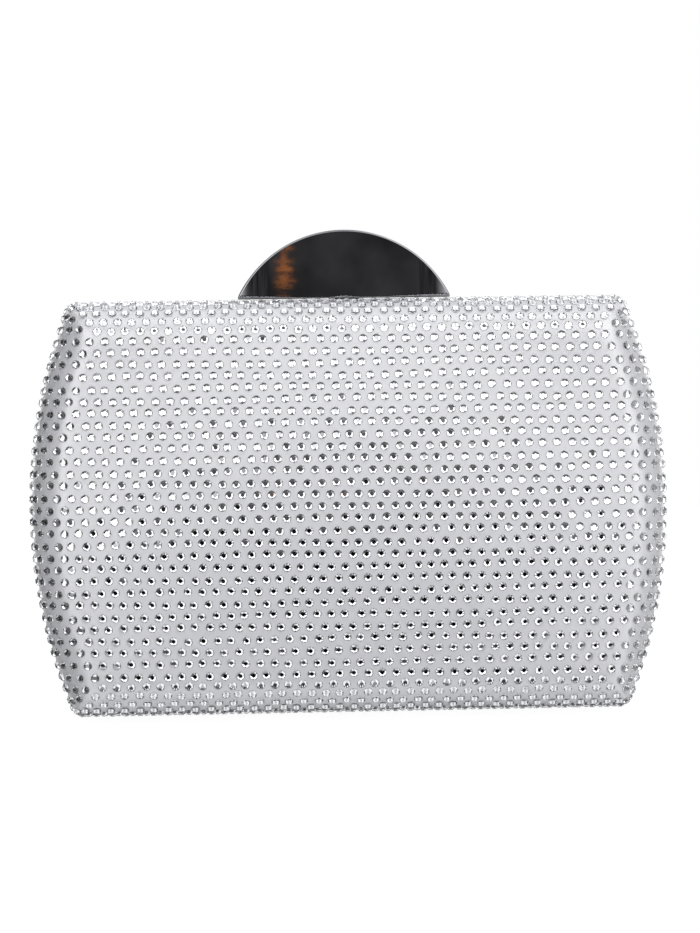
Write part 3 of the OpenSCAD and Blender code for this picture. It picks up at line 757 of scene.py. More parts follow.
@dataclass
class StoneField:
    """The stones of one half: glued in staggered rows by hand, so nothing is quite straight."""

    half: Half
    form: CaseForm
    diameter: float = 2.6
    height: float = 0.84
    pitch: float = 4.1
    row_pitch: float = 3.4
    glue: float = 0.02
    sway: float = 0.3
    sway_l: float = 17.0
    sway_least: float = 0.4
    stray: float = 0.18
    stray_most: float = 0.5
    roll_stray_most: float = 0.4
    stray_up: float = 0.09
    stray_round: float = 0.7
    calm_within: float = 2.0
    calm_share: float = 0.5
    lean_deg: float = 1.8
    size_spread: float = 0.08
    seam_margin: float = 1.2
    mitre_share: float = 0.74
    end_share: float = 1.1
    closest_share: float = 1.05
    gap_steps: tuple[float, float] = (0.4, 0.5)
    gap_reach: float = 8.0
    edge_slip: float = 0.05
    slope_step: float = 0.5
    bar_l: float = 63.0
    bar_y: float = 7.3
    sides: int = 8
    # The rings of the cut, from the back to the table: radius, height and turn by a share of a side.
    cut: tuple[tuple[float, float, float], ...] = ((0.49, 0.0, 0.5), (0.5, 0.34, 0.5), (0.26, 1.0, 0.0))

    def __post_init__(self) -> None:
        """Works out the sizes that follow from the others."""
        self.wall = self.form.edge_y - self.form.seam_y - self.seam_margin
        self.margin = self.mitre_share * self.diameter
        self.rows = round(2 * self.form.face_h / self.row_pitch)

    def stone(self) -> Thing:
        """Makes the one cut stone that is set everywhere: a foiled back, a low girdle and a crown.

        Returns:
            A stone one unit across and one unit high, with its back at the origin.
        """
        n = self.sides
        points = [
            (math.cos(math.tau * (i + turn) / n) * r, math.sin(math.tau * (i + turn) / n) * r, z)
            for r, z, turn in self.cut
            for i in range(n)
        ]
        faces = [[i, (i + 1) % n, n + (i + 1) % n, n + i] for i in range(n)]
        for i in range(n):
            faces += [[n + i, 2 * n + (i + 1) % n, 2 * n + i], [n + (i - 1) % n, n + i, 2 * n + i]]
        faces += [list(range(2 * n, 3 * n)), list(range(n - 1, -1, -1))]
        made = meshed("stone", np.array(points), [], faces)
        back = made.data.attributes.new("foil", "BOOLEAN", "FACE")
        back.data.foreach_set("value", [False] * (len(faces) - 1) + [True])
        return made

    def steps(self, low: float, high: float, odd: int) -> list[float]:
        """Places along a row, at the pitch, with one more at an end that has room for it.

        Args:
            low: where the row starts.
            high: where it ends.
            odd: 1 for a row that stands half a pitch aside, or else 0.

        Returns:
            The places.
        """
        first, last = math.ceil(low / self.pitch - odd / 2), math.floor(high / self.pitch - odd / 2)
        inner = [(i + odd / 2) * self.pitch for i in range(first, last + 1)]
        if not inner:
            return [(low + high) / 2]
        room = self.end_share * self.diameter
        before = [low] if inner[0] - low > room else []
        after = [high] if high - inner[-1] > room else []
        return before + inner + after

    def on_face(self, x: float, z: float) -> Spot:
        """The place and the direction of a stone on the crowned face.

        Towards the corners the satin's last threads lie flatter than the foam below, so the
        direction is that of the face's two curves, each taken through the middle.

        Args:
            x: the distance from the middle.
            z: the height above the middle.

        Returns:
            The place and the direction.
        """
        f, step = self.form, self.slope_step
        across = np.array([x, x - step, x + step, 0, 0])
        up = np.array([z, 0, 0, z - step, z + step])
        drop = f.crown_at(across, up)
        return (
            [x, f.half_d - float(drop[0]), z],
            [float(drop[2] - drop[1]) / (2 * step), 1.0, float(drop[4] - drop[3]) / (2 * step)],
        )

    def on_side(self, sign: int, t: float, z: float) -> Spot:
        """The place and the direction of a stone past the face's edge on a side.

        Args:
            sign: 1 for the right-hand side and -1 for the left.
            t: the distance past the edge, along the surface.
            z: the height above the middle.

        Returns:
            The place and the direction.
        """
        f = self.form
        tilt, u, y = f.over_edge(t)
        r = f.side_r - u
        x = math.sqrt(r * r - z * z) - f.side_off
        bearing = math.atan2(z, x + f.side_off)
        lean = max(tilt, 2 * f.crown / f.face_w)
        return (
            [sign * x, y, z],
            [sign * math.sin(lean) * math.cos(bearing), math.cos(lean), math.sin(lean) * math.sin(bearing)],
        )

    def on_roll(self, up: int, t: float, x: float) -> Spot:
        """The same past the face's edge at the top, where up is 1, or the bottom, where it is -1."""
        tilt, u, y = self.form.over_edge(t)
        return [x, y, up * (self.form.half_h - u)], [0.0, math.cos(tilt), up * math.sin(tilt)]

    def on_corner(self, sign: int, up: int, t: float) -> Spot:
        """The place and the direction of a stone on a corner's ridge.

        Args:
            sign: 1 for the right-hand side and -1 for the left.
            up: 1 for the top and -1 for the bottom.
            t: the distance past the face's edge, along the surface.

        Returns:
            The place and the direction.
        """
        f = self.form
        tilt, u, y = f.over_edge(t)
        soft = f.corner_r + f.corner_soft * u
        z = f.half_h - u - soft
        x = f.row_end(u + soft, 0.0)
        turn = (math.atan2(z, x + f.side_off) + math.pi / 2) / 2
        return (
            [sign * (x + soft * math.cos(turn)), y, up * (z + soft * math.sin(turn))],
            [sign * math.sin(tilt) * math.cos(turn), math.cos(tilt), up * math.sin(tilt) * math.sin(turn)],
        )

    def edge_x(self, z: float) -> float:
        """Where the face's edge lies on the right-hand side at a height."""
        f = self.form
        return math.sqrt((f.side_r - f.edge_r) ** 2 - z * z) - f.side_off

    def under_bar(self, up: int, place: list[float]) -> bool:
        """Whether a place lies under the clasp's bar.

        Args:
            up: 1 for the top and -1 for the bottom.
            place: the place.

        Returns:
            Whether it does.
        """
        near = self.diameter / 2
        covered = abs(place[0]) < self.bar_l / 2 + near and place[1] < self.bar_y + near
        return covered and up > 0 and self.half is Half.REAR

    def face_rows(self, rng: np.random.Generator) -> list[Spot]:
        """Sets the rows that cross the face and run on over the sides.

        Args:
            rng: what sways the rows and strays the stones.

        Returns:
            The places and directions.
        """
        f = self.form
        step = 2 * f.face_h / self.rows
        extra = int((f.edge_r - self.diameter) // step)
        found = []
        for k in range(-extra, self.rows + extra + 1):
            z0 = k * step - f.face_h
            phase, high = rng.uniform(0, math.tau), rng.uniform(self.sway_least, 1.0)
            inside = abs(z0) <= f.face_h + self.edge_slip
            end = self.edge_x(z0) + f.roll + self.wall
            if inside:
                spots = [(1 if p >= 0 else -1, abs(p)) for p in self.steps(-end, end, k % 2)]
            else:
                tilt = math.asin(min(1.0, 1 - (f.half_h - abs(z0) - self.margin) / f.edge_r))
                start = self.edge_x(z0) + f.edge_r * tilt
                spots = [(s, p) for s in (-1, 1) for p in self.steps(start, end, k % 2)]
            calm = self.calm_share if abs(z0) > f.face_h - self.calm_within else 1.0
            for sign, p in spots:
                wave = self.sway * high * math.sin(sign * p / self.sway_l + phase)
                z = z0 + (wave + rng.normal(0, self.stray_up)) * calm
                p = p + float(np.clip(rng.normal(0, self.stray), -self.stray_most, self.stray_most))
                if p <= self.edge_x(z) and inside:
                    found.append(self.on_face(sign * p, z))
                else:
                    past = min(p - self.edge_x(z), f.roll + self.wall)
                    found.append(self.on_side(sign, max(0.0, past), z))
        return found

    def roll_rows(self, rng: np.random.Generator) -> list[Spot]:
        """Sets the rows along the rolled top and bottom edges and the walls behind them.

        Args:
            rng: what strays the stones.

        Returns:
            The places and directions.
        """
        f, most = self.form, self.roll_stray_most
        count = math.ceil(f.roll / self.row_pitch)
        found = []
        for up in (1, -1):
            for j in range(1, count + int(self.wall // self.row_pitch) + 1):
                t = f.roll * j / count if j <= count else f.roll + (j - count) * self.row_pitch
                end = f.row_end(f.over_edge(t)[1], self.margin)
                for x in self.steps(-end, end, (j + (self.rows if up > 0 else 0)) % 2):
                    x = x + float(np.clip(rng.normal(0, self.stray), -most, most))
                    strayed = t + rng.normal(0, self.stray * self.stray_round)
                    spot = self.on_roll(up, min(strayed, f.roll + self.wall), x)
                    if not self.under_bar(up, spot[0]):
                        found.append(spot)
        return found

    def fill_corners(self, found: list[Spot]) -> None:
        """Adds stones on the corners' ridges, and beside them where the rows leave a gap.

        Args:
            found: the places and directions so far, which grow.
        """
        f = self.form
        taken = np.array([a for a, _ in found])
        for up, sign in ((1, 1), (1, -1), (-1, 1), (-1, -1)):
            for t in np.arange(0.0, f.roll + self.wall, self.gap_steps[0]).tolist():
                u = f.over_edge(t)[1]
                end = f.row_end(u, self.margin)
                tries = [self.on_corner(sign, up, t)]
                for back in np.arange(0.0, self.gap_reach, self.gap_steps[1]).tolist():
                    tries.append(self.on_roll(up, t, sign * (end - back)))
                    tries.append(self.on_side(sign, t, up * (f.half_h - u - self.margin - back)))
                for spot in tries:
                    clear = np.min(np.linalg.norm(taken - spot[0], axis=1))
                    if clear > self.closest_share * self.diameter:
                        found.append(spot)
                        taken = np.vstack([taken, spot[0]])

    def places(self) -> tuple[np.ndarray, np.ndarray]:
        """Works out where every stone sits and which way it faces.

        Returns:
            The places, about the case's middle, and the directions.
        """
        rng = np.random.default_rng(SEEDS[self.half])
        found = self.face_rows(rng) + self.roll_rows(rng)
        self.fill_corners(found)
        facing = np.array([b for _, b in found])
        facing /= np.linalg.norm(facing, axis=1)[:, None]
        return np.array([a for a, _ in found]) + facing * self.glue, facing

    def build(self) -> Thing:
        """Sets the stones and stands them in for the CAD's.

        Returns:
            The piece, which rides on its half.
        """
        body = self.half.body
        spots, facing = self.places()
        turn = np.array([1, self.half.value, 1])
        carrier = meshed("places", (spots * turn + [0, 0, self.form.middle_z]) * MM, [], [])
        mark = carrier.data.attributes.new("facing", "FLOAT_VECTOR", "POINT")
        mark.data.foreach_set("vector", (facing * turn).ravel())
        stone = self.stone()
        values = {
            "Stone": stone,
            "Diameter": self.diameter * MM,
            "Height": self.height * MM,
            "Size spread": self.size_spread,
            "Lean": math.radians(self.lean_deg),
            "Glass": STONE_GLASS.material(),
            "Foil": STONE_FOIL.material(),
        }
        made = SettingTree.grow(carrier, values, f"{body}_crystals")
        discard(stone)
        hand_over(made, body, "crystal", f"{body}_stones", f"{body}_base_stones")
        log.info("%d stones", len(spots))
        return made


@dataclass
class CoveredCase:
    """One half of the case: satin drawn over foam outside, and satin over board inside."""

    half: Half
    form: CaseForm
    satin: tuple[float, float] = (0.0, 0.46)
    foam: tuple[float, float] = (0.55, 1.7)
    lining: tuple[float, float] = (4.5, 5.05)
    satin_ripple: float = 0.04
    lining_ripple: float = 0.3
    turned_in: float = 1.12
    hook_room_w: float = 9.6
    hook_room_l: float = 6.5
    hook_room_depth: float = 0.9
    hook_room_slip: float = 0.1

    def clear_hook(self, foam: Thing) -> None:
        """Thins the front foam from inside where the clasp's hook rises.

        Args:
            foam: the front foam.
        """
        top = self.form.middle_z + self.form.half_h
        for v in foam.data.vertices:
            x, y, z = (c / MM for c in v.co)
            inside = abs(z - top + self.foam[1]) < self.hook_room_slip
            if inside and abs(x) < self.hook_room_w / 2 and abs(y) < self.hook_room_l:
                v.co.z = (top - self.hook_room_depth) * MM

    def build(self) -> list[Thing]:
        """Makes the cover, the foam and the lining.

        Returns:
            The three pieces, which ride on their half.
        """
        body, shell = self.half.body, self.form.shell
        cover = shell(f"{body}_satin", self.half, self.satin, COVER_SATIN, self.satin_ripple)
        foam = shell(f"{body}_foam", self.half, self.foam, FOAM, 0.0)
        lining = shell(f"{body}_inner_satin", self.half, self.lining, LINING_SATIN, self.lining_ripple)
        if self.half is Half.FRONT:
            self.clear_hook(foam)
        hand_over(cover, body, "satin", f"{body}_cover")
        hand_over(foam, body, "foam", f"{body}_padding")
        hand_over(lining, body, "lining", f"{body}_lining")
        for made, inset, under in ((cover, 0.0, "padding"), (lining, self.lining[1], "board")):
            area = self.form.area_mm2(inset) * MM * MM
        return [cover, foam, lining]


@dataclass
class HalfMoon:
    """The clasp's plate: cast, buffed so that its ends fall away, with a rounded bright rim."""

    span: float = 63.0
    rise: float = 20.0
    thick: float = 3.0
    round_r: float = 0.4
    foot_r: float = 0.2
    tip_cut: float = 0.4
    tip_least: float = 0.12
    foot_z: float = 120.58
    pivot_y: float = 3.8
    pivot_z: float = 116.38
    hub_r: float = 1.2
    bore_r: float = 0.64
    hub_l: float = 8.8
    eye_w: float = 3.5
    neck_t: float = 1.6
    neck_sink: float = 0.5
    neck_from_share: float = 0.8
    neck_clear: float = 0.06
    fall_from: float = 22.0
    fall: float = 0.36
    rim_share: float = 0.06
    rim_rings: int = 7
    # How far out the last arc lies, in shares of the straight edge's own distance.
    last_arc: float = 1.0005
    rings: int = 46
    columns: int = 120
    hub_steps: int = 32

    def drop(self, x: np.ndarray, to_rim: float, to_foot: np.ndarray) -> np.ndarray:
        """How far the face lies below the full thickness at a place.

        Args:
            x: the distance from the middle.
            to_rim: the distance to the arc.
            to_foot: the distance to the straight edge.

        Returns:
            The drop, in millimetres.
        """
        past = (np.abs(x) - self.fall_from) / (self.span / 2 - self.fall_from)
        ends = np.clip(past, 0, 1) ** 2 * self.fall
        depth = np.clip(self.round_r - to_rim, 0, self.round_r)
        rim = self.round_r - np.sqrt(np.maximum(self.round_r**2 - depth**2, 0))
        under = np.clip(self.foot_r - to_foot, 0, self.foot_r)
        foot = self.foot_r - np.sqrt(np.maximum(self.foot_r**2 - under**2, 0))
        return np.minimum(ends + rim + foot, self.thick / 2 - self.tip_least)

    def plate(self) -> Skin:
        """The half-moon's points and faces: arcs from the rim down to the straight edge's middle.

        Returns:
            The points and the faces.
        """
        radius = (self.span**2 / 4 + self.rise**2) / (2 * self.rise)
        base = radius - self.rise
        inner = self.rim_share + np.linspace(0, 1, self.rings + 1) * (1 - self.rim_share)
        share = np.concatenate([np.linspace(0, self.rim_share, self.rim_rings + 1)[:-1], inner])
        front, back = [], []
        for r in radius - (radius - base * self.last_arc) * share:
            reach = math.acos(min(1.0, base / r))
            a = np.linspace(-reach, reach, self.columns + 1)
            x = np.clip(np.sin(a) * r, -self.span / 2 + self.tip_cut, self.span / 2 - self.tip_cut)
            z = np.cos(a) * r - base
            y = self.thick / 2 - self.drop(x, radius - r, z)
            front.append(beside(x, -y, z))
            back.append(beside(x, y, z))
        points = np.concatenate(front + back) + [0, self.pivot_y, self.foot_z]
        return points, slab_faces(len(front), self.columns + 1)

    def foot(self) -> Skin:
        """The neck and the two halves of the hub, either side of the hook's eye.

        Returns:
            The points and the faces.
        """
        points: Rings = []
        faces: list[list[int]] = []
        n, eye, end = self.hub_steps, self.eye_w / 2, self.hub_l / 2
        a = np.linspace(0, math.tau, n + 1)[:-1]
        for low, high in ((-end, -eye), (eye, end)):
            start = sum(len(p) for p in points)
            for x, r in ((low, self.hub_r), (high, self.hub_r), (high, self.bore_r), (low, self.bore_r)):
                y, z = np.cos(a) * r + self.pivot_y, np.sin(a) * r + self.pivot_z
                points.append(beside(x, y, z))
            for k in range(4):
                for i in range(n):
                    j, one, two = (i + 1) % n, start + k * n, start + (k + 1) % 4 * n
                    faces.append([one + j, two + j, two + i, one + i])
        ys = (self.pivot_y - self.neck_t / 2, self.pivot_y + self.neck_t / 2)
        level = self.pivot_z + self.hub_r * self.neck_from_share
        above = self.pivot_z + self.hub_r + self.neck_clear
        for x0, x1, z0 in ((-end, -eye, level), (eye, end, level), (-eye, eye, above)):
            start = sum(len(p) for p in points)
            zs = (z0, self.foot_z + self.neck_sink)
            points.append(np.array([[x, y, z] for x in (x0, x1) for y in ys for z in zs]))
            box = [[0, 1, 3, 2], [4, 6, 7, 5], [0, 4, 5, 1], [2, 3, 7, 6], [0, 2, 6, 4], [1, 5, 7, 3]]
            faces += [[start + i for i in f] for f in box]
        return np.concatenate(points), faces

    def build(self) -> Thing:
        """Makes the plate with its foot.

        Returns:
            The piece, which rides on the clasp.
        """
        points, faces = self.plate()
        more, others = self.foot()
        faces += [[len(points) + i for i in f] for f in others]
        made = piece("half_moon", np.concatenate([points, more]), faces, DARK_NICKEL)
        for polygon in made.data.polygons:
            polygon.use_smooth = polygon.index < len(faces) - len(others)
        hand_over(made, "clasp", "black_nickel", "clasp_plate")
        return made


@dataclass
class SlipPocket:
    """A flat pocket sewn to the rear lining, open at its hemmed top, a little slack."""

    form: CaseForm
    width: float = 110.0
    low: float = -40.0
    high: float = 22.0
    corner: float = 8.0
    cloth: float = 0.6
    hem: float = 4.0
    hem_t: float = 0.45
    hem_slope: float = 0.4
    gap_share: float = 0.2
    slack: float = 1.3
    slack_low: float = 0.25
    slack_from: float = 6.0
    pull: float = 0.18
    pull_l: float = 6.0
    inset: float = 5.22
    seam_in: float = 1.6
    seam_from_top: float = 0.8
    seam_over_hem: float = 0.9
    turned_in: float = 4.0
    stitch_pitch: float = 2.4
    stitch_l: float = 1.6
    stitch_r: float = 0.16
    side_points: int = 20
    bend_points: int = 12
    foot_points: int = 24
    hem_points: int = 90
    columns: int = 88
    rows: int = 52

    def cloth_y(self, x: np.ndarray, z: np.ndarray) -> np.ndarray:
        """Where the cloth's back lies at a place.

        The slack cloth stands off the lining, most at the middle of the mouth.

        Args:
            x: the distance from the middle.
            z: the height above the case's middle.

        Returns:
            Its Y.
        """
        across = 1 - (np.abs(x) / (self.width / 2)) ** 2
        up = (z - self.low) / (self.high - self.low)
        pull = self.pull * np.sin(x / self.pull_l) * up * across
        share = self.slack_low + (1 - self.slack_low) * up**1.5
        lift = self.slack * across**0.7 * share * np.minimum(1, up * self.slack_from) + pull
        return self.form.half_d - self.inset - self.form.crown_at(x, z) - lift

    def fold(self, z: np.ndarray) -> np.ndarray:
        """How much thicker the cloth is at a height, for its hem."""
        return np.clip((z - (self.high - self.hem)) / self.hem_slope, 0, 1) * self.hem_t

    def bottom(self, x: np.ndarray) -> np.ndarray:
        """The lower edge at a place, with its two rounded corners."""
        past = np.clip(np.abs(x) - (self.width / 2 - self.corner), 0, self.corner)
        return self.low + self.corner - np.sqrt(np.maximum(self.corner**2 - past**2, 0))

    def panel(self) -> Thing:
        """Makes the panel with its hem.

        Returns:
            The piece.
        """
        x = np.linspace(-self.width / 2, self.width / 2, self.columns + 1)
        low = self.bottom(x)
        grid = []
        for behind in (0.0, 1.0):
            for v in np.linspace(0, 1, self.rows + 1):
                z = low + (self.high - low) * v
                y = self.cloth_y(x, z) - self.cloth * self.gap_share
                grid.append(beside(x, y - (self.cloth + self.fold(z)) * (1 - behind), z))
        points = np.concatenate(grid) + [0, 0, self.form.middle_z]
        faces = [[f[0], *f[:0:-1]] for f in slab_faces(self.rows + 1, self.columns + 1)]
        return piece("pocket_panel", points, faces, LINING_SATIN)

    def seam(self) -> Thing:
        """Sews round the edge and under the hem.

        Returns:
            The stitches.
        """
        inner, r = self.width / 2 - self.seam_in, self.corner - self.seam_in
        bend, arc = self.low + self.corner, np.linspace(0, math.pi / 2, self.bend_points)
        side = beside(inner, np.linspace(self.high - self.seam_from_top, bend, self.side_points))
        turn = beside(inner - r + r * np.cos(arc), bend - r * np.sin(arc))
        foot = beside(np.linspace(inner - r, 0, self.foot_points), self.low + self.seam_in)
        line = np.concatenate([side[:-1], turn[:-1], foot])
        edge = np.concatenate([line, line[-2::-1] * [-1, 1]])
        under_hem = self.high - self.hem + self.seam_over_hem
        hem = beside(np.linspace(-inner, inner, self.hem_points), under_hem)
        points, edges = [], []
        for run in (edge, hem):
            x, z = run[:, 0], run[:, 1]
            y = self.cloth_y(x, z) - self.cloth * (1 + self.gap_share) - self.fold(z)
            start = sum(len(p) for p in points)
            points.append(beside(x, y, z + self.form.middle_z))
            edges += [[start + i, start + i + 1] for i in range(len(run) - 1)]
        values = {
            "Pitch": self.stitch_pitch * MM,
            "Length": self.stitch_l * MM,
            "Thread radius": self.stitch_r * MM,
            "Thread": THREAD.material(),
        }
        line = meshed("seam_line", np.concatenate(points) * MM, edges, [])
        return StitchTree.grow(line, values, "pocket_stitches")

    def build(self) -> list[Thing]:
        """Makes the pocket and its stitches.

        Returns:
            The two pieces, which ride on the rear half.
        """
        panel, seam = self.panel(), self.seam()
        hand_over(panel, "rear", "lining", "slip_pocket")
        hand_over(seam, "rear", "lining")
        return [panel, seam]


@dataclass
class Metalwork:
    """The CAD's own pieces, which keep their shape and get their finish."""

    finishes: tuple[tuple[Finish, tuple[str, ...]], ...] = (
        (ABS, ("rear_shell", "front_shell")),
        (CARD, ("rear_board", "front_board")),
        (NICKEL, ("rear_frame", "front_frame", "rear_knuckles", "front_knuckles")),
        (NICKEL, ("chain_lugs", "clasp_base")),
        (STEEL, ("hinge_pins", "latch_hook", "clasp_pin", "clasp_springs", "clasp_screws")),
        (STEEL, ("catch_plate", "catch_rivets")),
    )

    def build(self) -> None:
        """Dresses each node."""
        for finish, names in self.finishes:
            for name in names:
                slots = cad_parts[name].data.materials
                slots.clear()
                slots.append(finish.material())
                log.info("%s: %s", name, finish.name)


@dataclass(frozen=True)
class Ramp:
    """A smooth change of the light from all round, along one axis of its direction."""

    axis: str
    low: float
    high: float
    at_low: float
    at_high: float


@dataclass(frozen=True)
class Patch:
    """An oval in the light from all round, in the X and Z of its direction.

    Its core is the share of its size up to which it is full, and rough is how uneven its edge is.
    """

    x: float
    z: float
    half_x: float
    half_z: float
    rough: float = 0.25
    core: float = 0.86


@dataclass
class Studio:
    """The plain white studio of the photograph: a pale floor, soft light all round, and the camera."""

    azimuth_deg: float = -2.66
    elevation_deg: float = 0.3
    roll_deg: float = -0.92
    distance: float = 0.9548
    aim: tuple[float, float, float] = (0.0, -0.018, 0.07118)
    seen_height: float = 0.26803
    sensor_mm: float = 36.0
    floor_low: float = -0.027
    floor_edge: float = 0.003
    floor_reach: float = 3.0
    floor_front: float = 0.6
    floor_brow: float = 0.004
    floor_cove: float = 0.012
    floor_steps: int = 8
    paper: str = "#dadada"
    paper_glow: float = 1.2
    paper_glow_share: float = 0.76
    key: float = 0.98
    ramps: tuple[Ramp, ...] = (
        Ramp("Z", -0.55, -0.12, 0.55, 1.0),
        Ramp("Z", 0.1, 0.3, 1.0, 1.2),
        Ramp("Z", 0.54, 0.7, 1.0, 0.4),
        Ramp("Z", 0.8, 0.94, 1.0, 1.6),
        Ramp("X", -0.7, -0.42, 0.02, 1.0),
        Ramp("X", -0.2, 0.0, 2.1, 1.0),
        Ramp("X", 0.12, 0.28, 1.0, 2.1),
        Ramp("X", 0.56, 0.84, 1.0, 0.14),
        Ramp("Y", -0.1, 0.5, 1.0, 0.85),
    )
    patches: tuple[Patch, ...] = (
        Patch(0.04, -0.06, 0.195, 0.17),
        Patch(0.085, -0.31, 0.505, 0.27),
        Patch(0.06, -0.15, 0.62, 0.12),
        Patch(-0.16, 0.6, 0.26, 0.1),
    )
    patch_end: float = 1.08
    patch_least: float = 0.037
    patch_most: float = 0.122
    ripple_scale: float = 9.0
    clutter_scale: float = 75.0
    clutter_span: tuple[float, float] = (0.3, 0.7)
    streak: Patch = Patch(0.0275, 0.0545, 0.0016, 0.006, 7.0, 0.5)
    streak_colour: str = "#ffa05c"
    streak_share: float = 0.95
    jag_scale: float = 800.0
    lamp_size: tuple[float, float] = (1.2, 0.8)
    lamp_watts: float = 2.5
    lamp_at: tuple[float, float, float] = (0.3, -0.8, 1.5)
    lamp_aim: tuple[float, float, float] = (0.0, 0.0, 0.07)

    def camera(self) -> None:
        """Places the camera where the photograph was taken from."""
        a, e = math.radians(self.azimuth_deg), math.radians(self.elevation_deg)
        back = Vector((math.sin(a) * math.cos(e), -math.cos(a) * math.cos(e), math.sin(e)))
        data = bpy.data.cameras.new("camera")
        data.sensor_width = self.sensor_mm
        data.lens = self.sensor_mm / 2 / (self.seen_height / 2 / self.distance)
        data.clip_start, data.clip_end = 0.01, 50.0
        made = placed("camera", data)
        made.location = Vector(self.aim) + back * self.distance
        level = (-back).to_track_quat("-Z", "Y").to_matrix()
        made.rotation_euler = (level @ Matrix.Rotation(math.radians(self.roll_deg), 3, "Z")).to_euler()
        bpy.context.scene.camera = made

    def floor(self) -> None:
        """Lays a white sheet that carries the rear half and drops away before the hinge.

        The front half swings down past the bag's foot as it opens, so the sheet lies lower there.
        """
        y, low, brow, cove = self.floor_edge, self.floor_low, self.floor_brow, self.floor_cove
        turn = np.linspace(0, math.pi / 2, self.floor_steps + 1)
        line = np.concatenate([
            [[-self.floor_front, low]],
            beside(y - cove + cove * np.sin(turn), low + cove - cove * np.cos(turn)),
            beside(y + brow - brow * np.cos(turn), -brow + brow * np.sin(turn)),
            [[self.floor_reach, 0.0]],
        ])
        n = len(line)
        points = [(x, *p) for x in (-self.floor_reach, self.floor_reach) for p in line.tolist()]
        made = meshed("floor", points, [], [[i, n + i, n + i + 1, i + 1] for i in range(n - 1)])
        made.data.polygons.foreach_set("use_smooth", [True] * (n - 1))
        made.visible_glossy = made.visible_transmission = False
        paper = bpy.data.materials.new("paper_white")
        paper.use_nodes = True
        tree = paper.node_tree
        tree.nodes.clear()
        matt = put(tree, "ShaderNodeBsdfDiffuse", None, {"Color": linear(self.paper)})
        glow = put(tree, "ShaderNodeEmission", None, {"Color": WHITE, "Strength": self.paper_glow})
        path = put(tree, "ShaderNodeLightPath")
        share = put(tree, "ShaderNodeMath", {"operation": "MULTIPLY"},
                    {0: path.outputs["Is Camera Ray"], 1: self.paper_glow_share})
        mixed = put(tree, "ShaderNodeMixShader", None, {0: share, 1: matt, 2: glow})
        put(tree, "ShaderNodeOutputMaterial", None, {"Surface": mixed})
        made.data.materials.append(paper)

    def surroundings(self) -> None:
        """Lights the bag from all round, most from two sheets, left and right of the camera.

        Stones and metal show what stands before the bag: the bright sheets, the unlit room
        past them and overhead, the camera and its table as dark ovals at eye level and below,
        one more dark oval high up, and a copper streak in the half-moon. The same lies behind
        the bag for the other views. The camera itself sees plain white behind the bag.
        """
        world = bpy.data.worlds.new("studio")
        bpy.context.scene.world = world
        world.use_nodes = True
        tree = world.node_tree
        tree.nodes.clear()
        times, added = {"operation": "MULTIPLY"}, {"operation": "MULTIPLY_ADD"}
        smooth = {"interpolation_type": "SMOOTHSTEP"}
        way = put(tree, "ShaderNodeTexCoord").outputs["Generated"]
        part = put(tree, "ShaderNodeSeparateXYZ", None, {0: way}).outputs
        level: Any = self.key
        for ramp in self.ramps:
            share = put(tree, "ShaderNodeMapRange", smooth, {
                "Value": part[ramp.axis], "From Min": ramp.low, "From Max": ramp.high,
                "To Min": ramp.at_low, "To Max": ramp.at_high,
            })
            level = put(tree, "ShaderNodeMath", times, {0: share, 1: level})
        ripple, clutter = (
            put(tree, "ShaderNodeTexNoise", None, {"Vector": way, "Scale": scale, "Detail": detail})
            for scale, detail in ((self.ripple_scale, 2.0), (self.clutter_scale, 3.0))
        )
        jags = put(tree, "ShaderNodeTexNoise", {"noise_dimensions": "1D"},
                   {"W": part["Z"], "Scale": self.jag_scale, "Detail": 2.0})
        dark = put(tree, "ShaderNodeMapRange", None, {
            "Value": clutter, "From Min": self.clutter_span[0], "From Max": self.clutter_span[1],
            "To Min": self.patch_least, "To Max": self.patch_most,
        })
        ovals = [(patch, ripple, dark, 1.0) for patch in self.patches]
        for patch, edge, inside, outside in (*ovals, (self.streak, jags, self.streak_share, 0.0)):
            off = put(tree, "ShaderNodeVectorMath", added, {
                0: way,
                1: (1 / patch.half_x, 0.0, 1 / patch.half_z),
                2: (-patch.x / patch.half_x, 0.0, -patch.z / patch.half_z),
            })
            far = put(tree, "ShaderNodeVectorMath", {"operation": "LENGTH"}, {0: off})
            uneven = put(tree, "ShaderNodeMath", added, {0: edge, 1: patch.rough, 2: far.outputs["Value"]})
            oval = put(tree, "ShaderNodeMapRange", smooth, {
                "Value": uneven, "To Min": inside, "To Max": outside,
                "From Min": patch.core + patch.rough / 2, "From Max": self.patch_end + patch.rough / 2,
            })
            if patch is not self.streak:
                level = put(tree, "ShaderNodeMath", times, {0: oval, 1: level})
        tinted = put(tree, "ShaderNodeMix", {"data_type": "RGBA"},
                     {"Factor": oval, "A": level, "B": linear(self.streak_colour)})
        path = put(tree, "ShaderNodeLightPath")
        seen = {"Factor": path.outputs["Is Camera Ray"], "A": tinted.outputs["Result"], "B": WHITE}
        final = put(tree, "ShaderNodeMix", {"data_type": "RGBA"}, seen)
        sky = put(tree, "ShaderNodeBackground", None, {"Color": final.outputs["Result"], "Strength": 1.0})
        put(tree, "ShaderNodeOutputWorld", None, {"Surface": sky})

    def lamps(self) -> None:
        """Hangs one broad lamp above and before the bag, for its glints."""
        data = bpy.data.lights.new("softbox", "AREA")
        data.shape = "RECTANGLE"
        data.size, data.size_y = self.lamp_size
        data.energy = self.lamp_watts
        made = placed("softbox", data)
        made.location = self.lamp_at
        made.rotation_euler = (Vector(self.lamp_aim) - made.location).to_track_quat("-Z", "Y").to_euler()

    def build(self) -> None:
        """Sets up the camera, the floor and the light."""
        bpy.context.scene.view_settings.view_transform = "Standard"
        self.camera()
        self.floor()
        self.surroundings()
        self.lamps()
        log.info("studio")


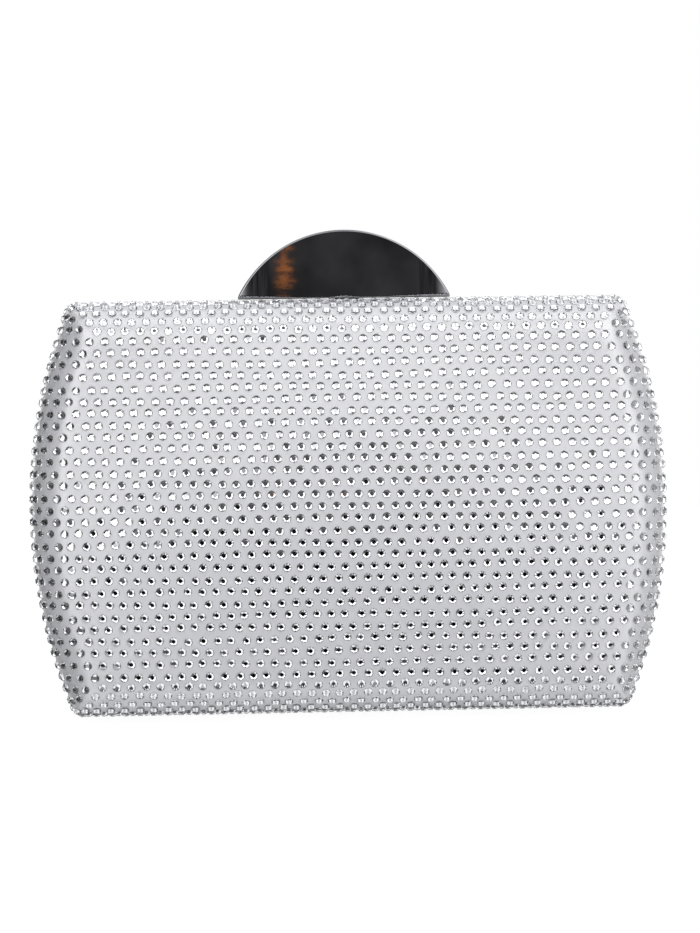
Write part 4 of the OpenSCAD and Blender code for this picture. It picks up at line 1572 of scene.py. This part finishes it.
def main() -> None:
    """Builds the bag's looks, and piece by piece."""
    logging.basicConfig(level=logging.INFO, format="%(name)s %(message)s")
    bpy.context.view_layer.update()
    Studio().build()
    form = CaseForm()
    for half in Half:
        CoveredCase(half, form).build()
        StoneField(half, form).build()
    HalfMoon().build()
    SlipPocket(form).build()
    Metalwork().build()


if __name__ == "__main__":
    main()
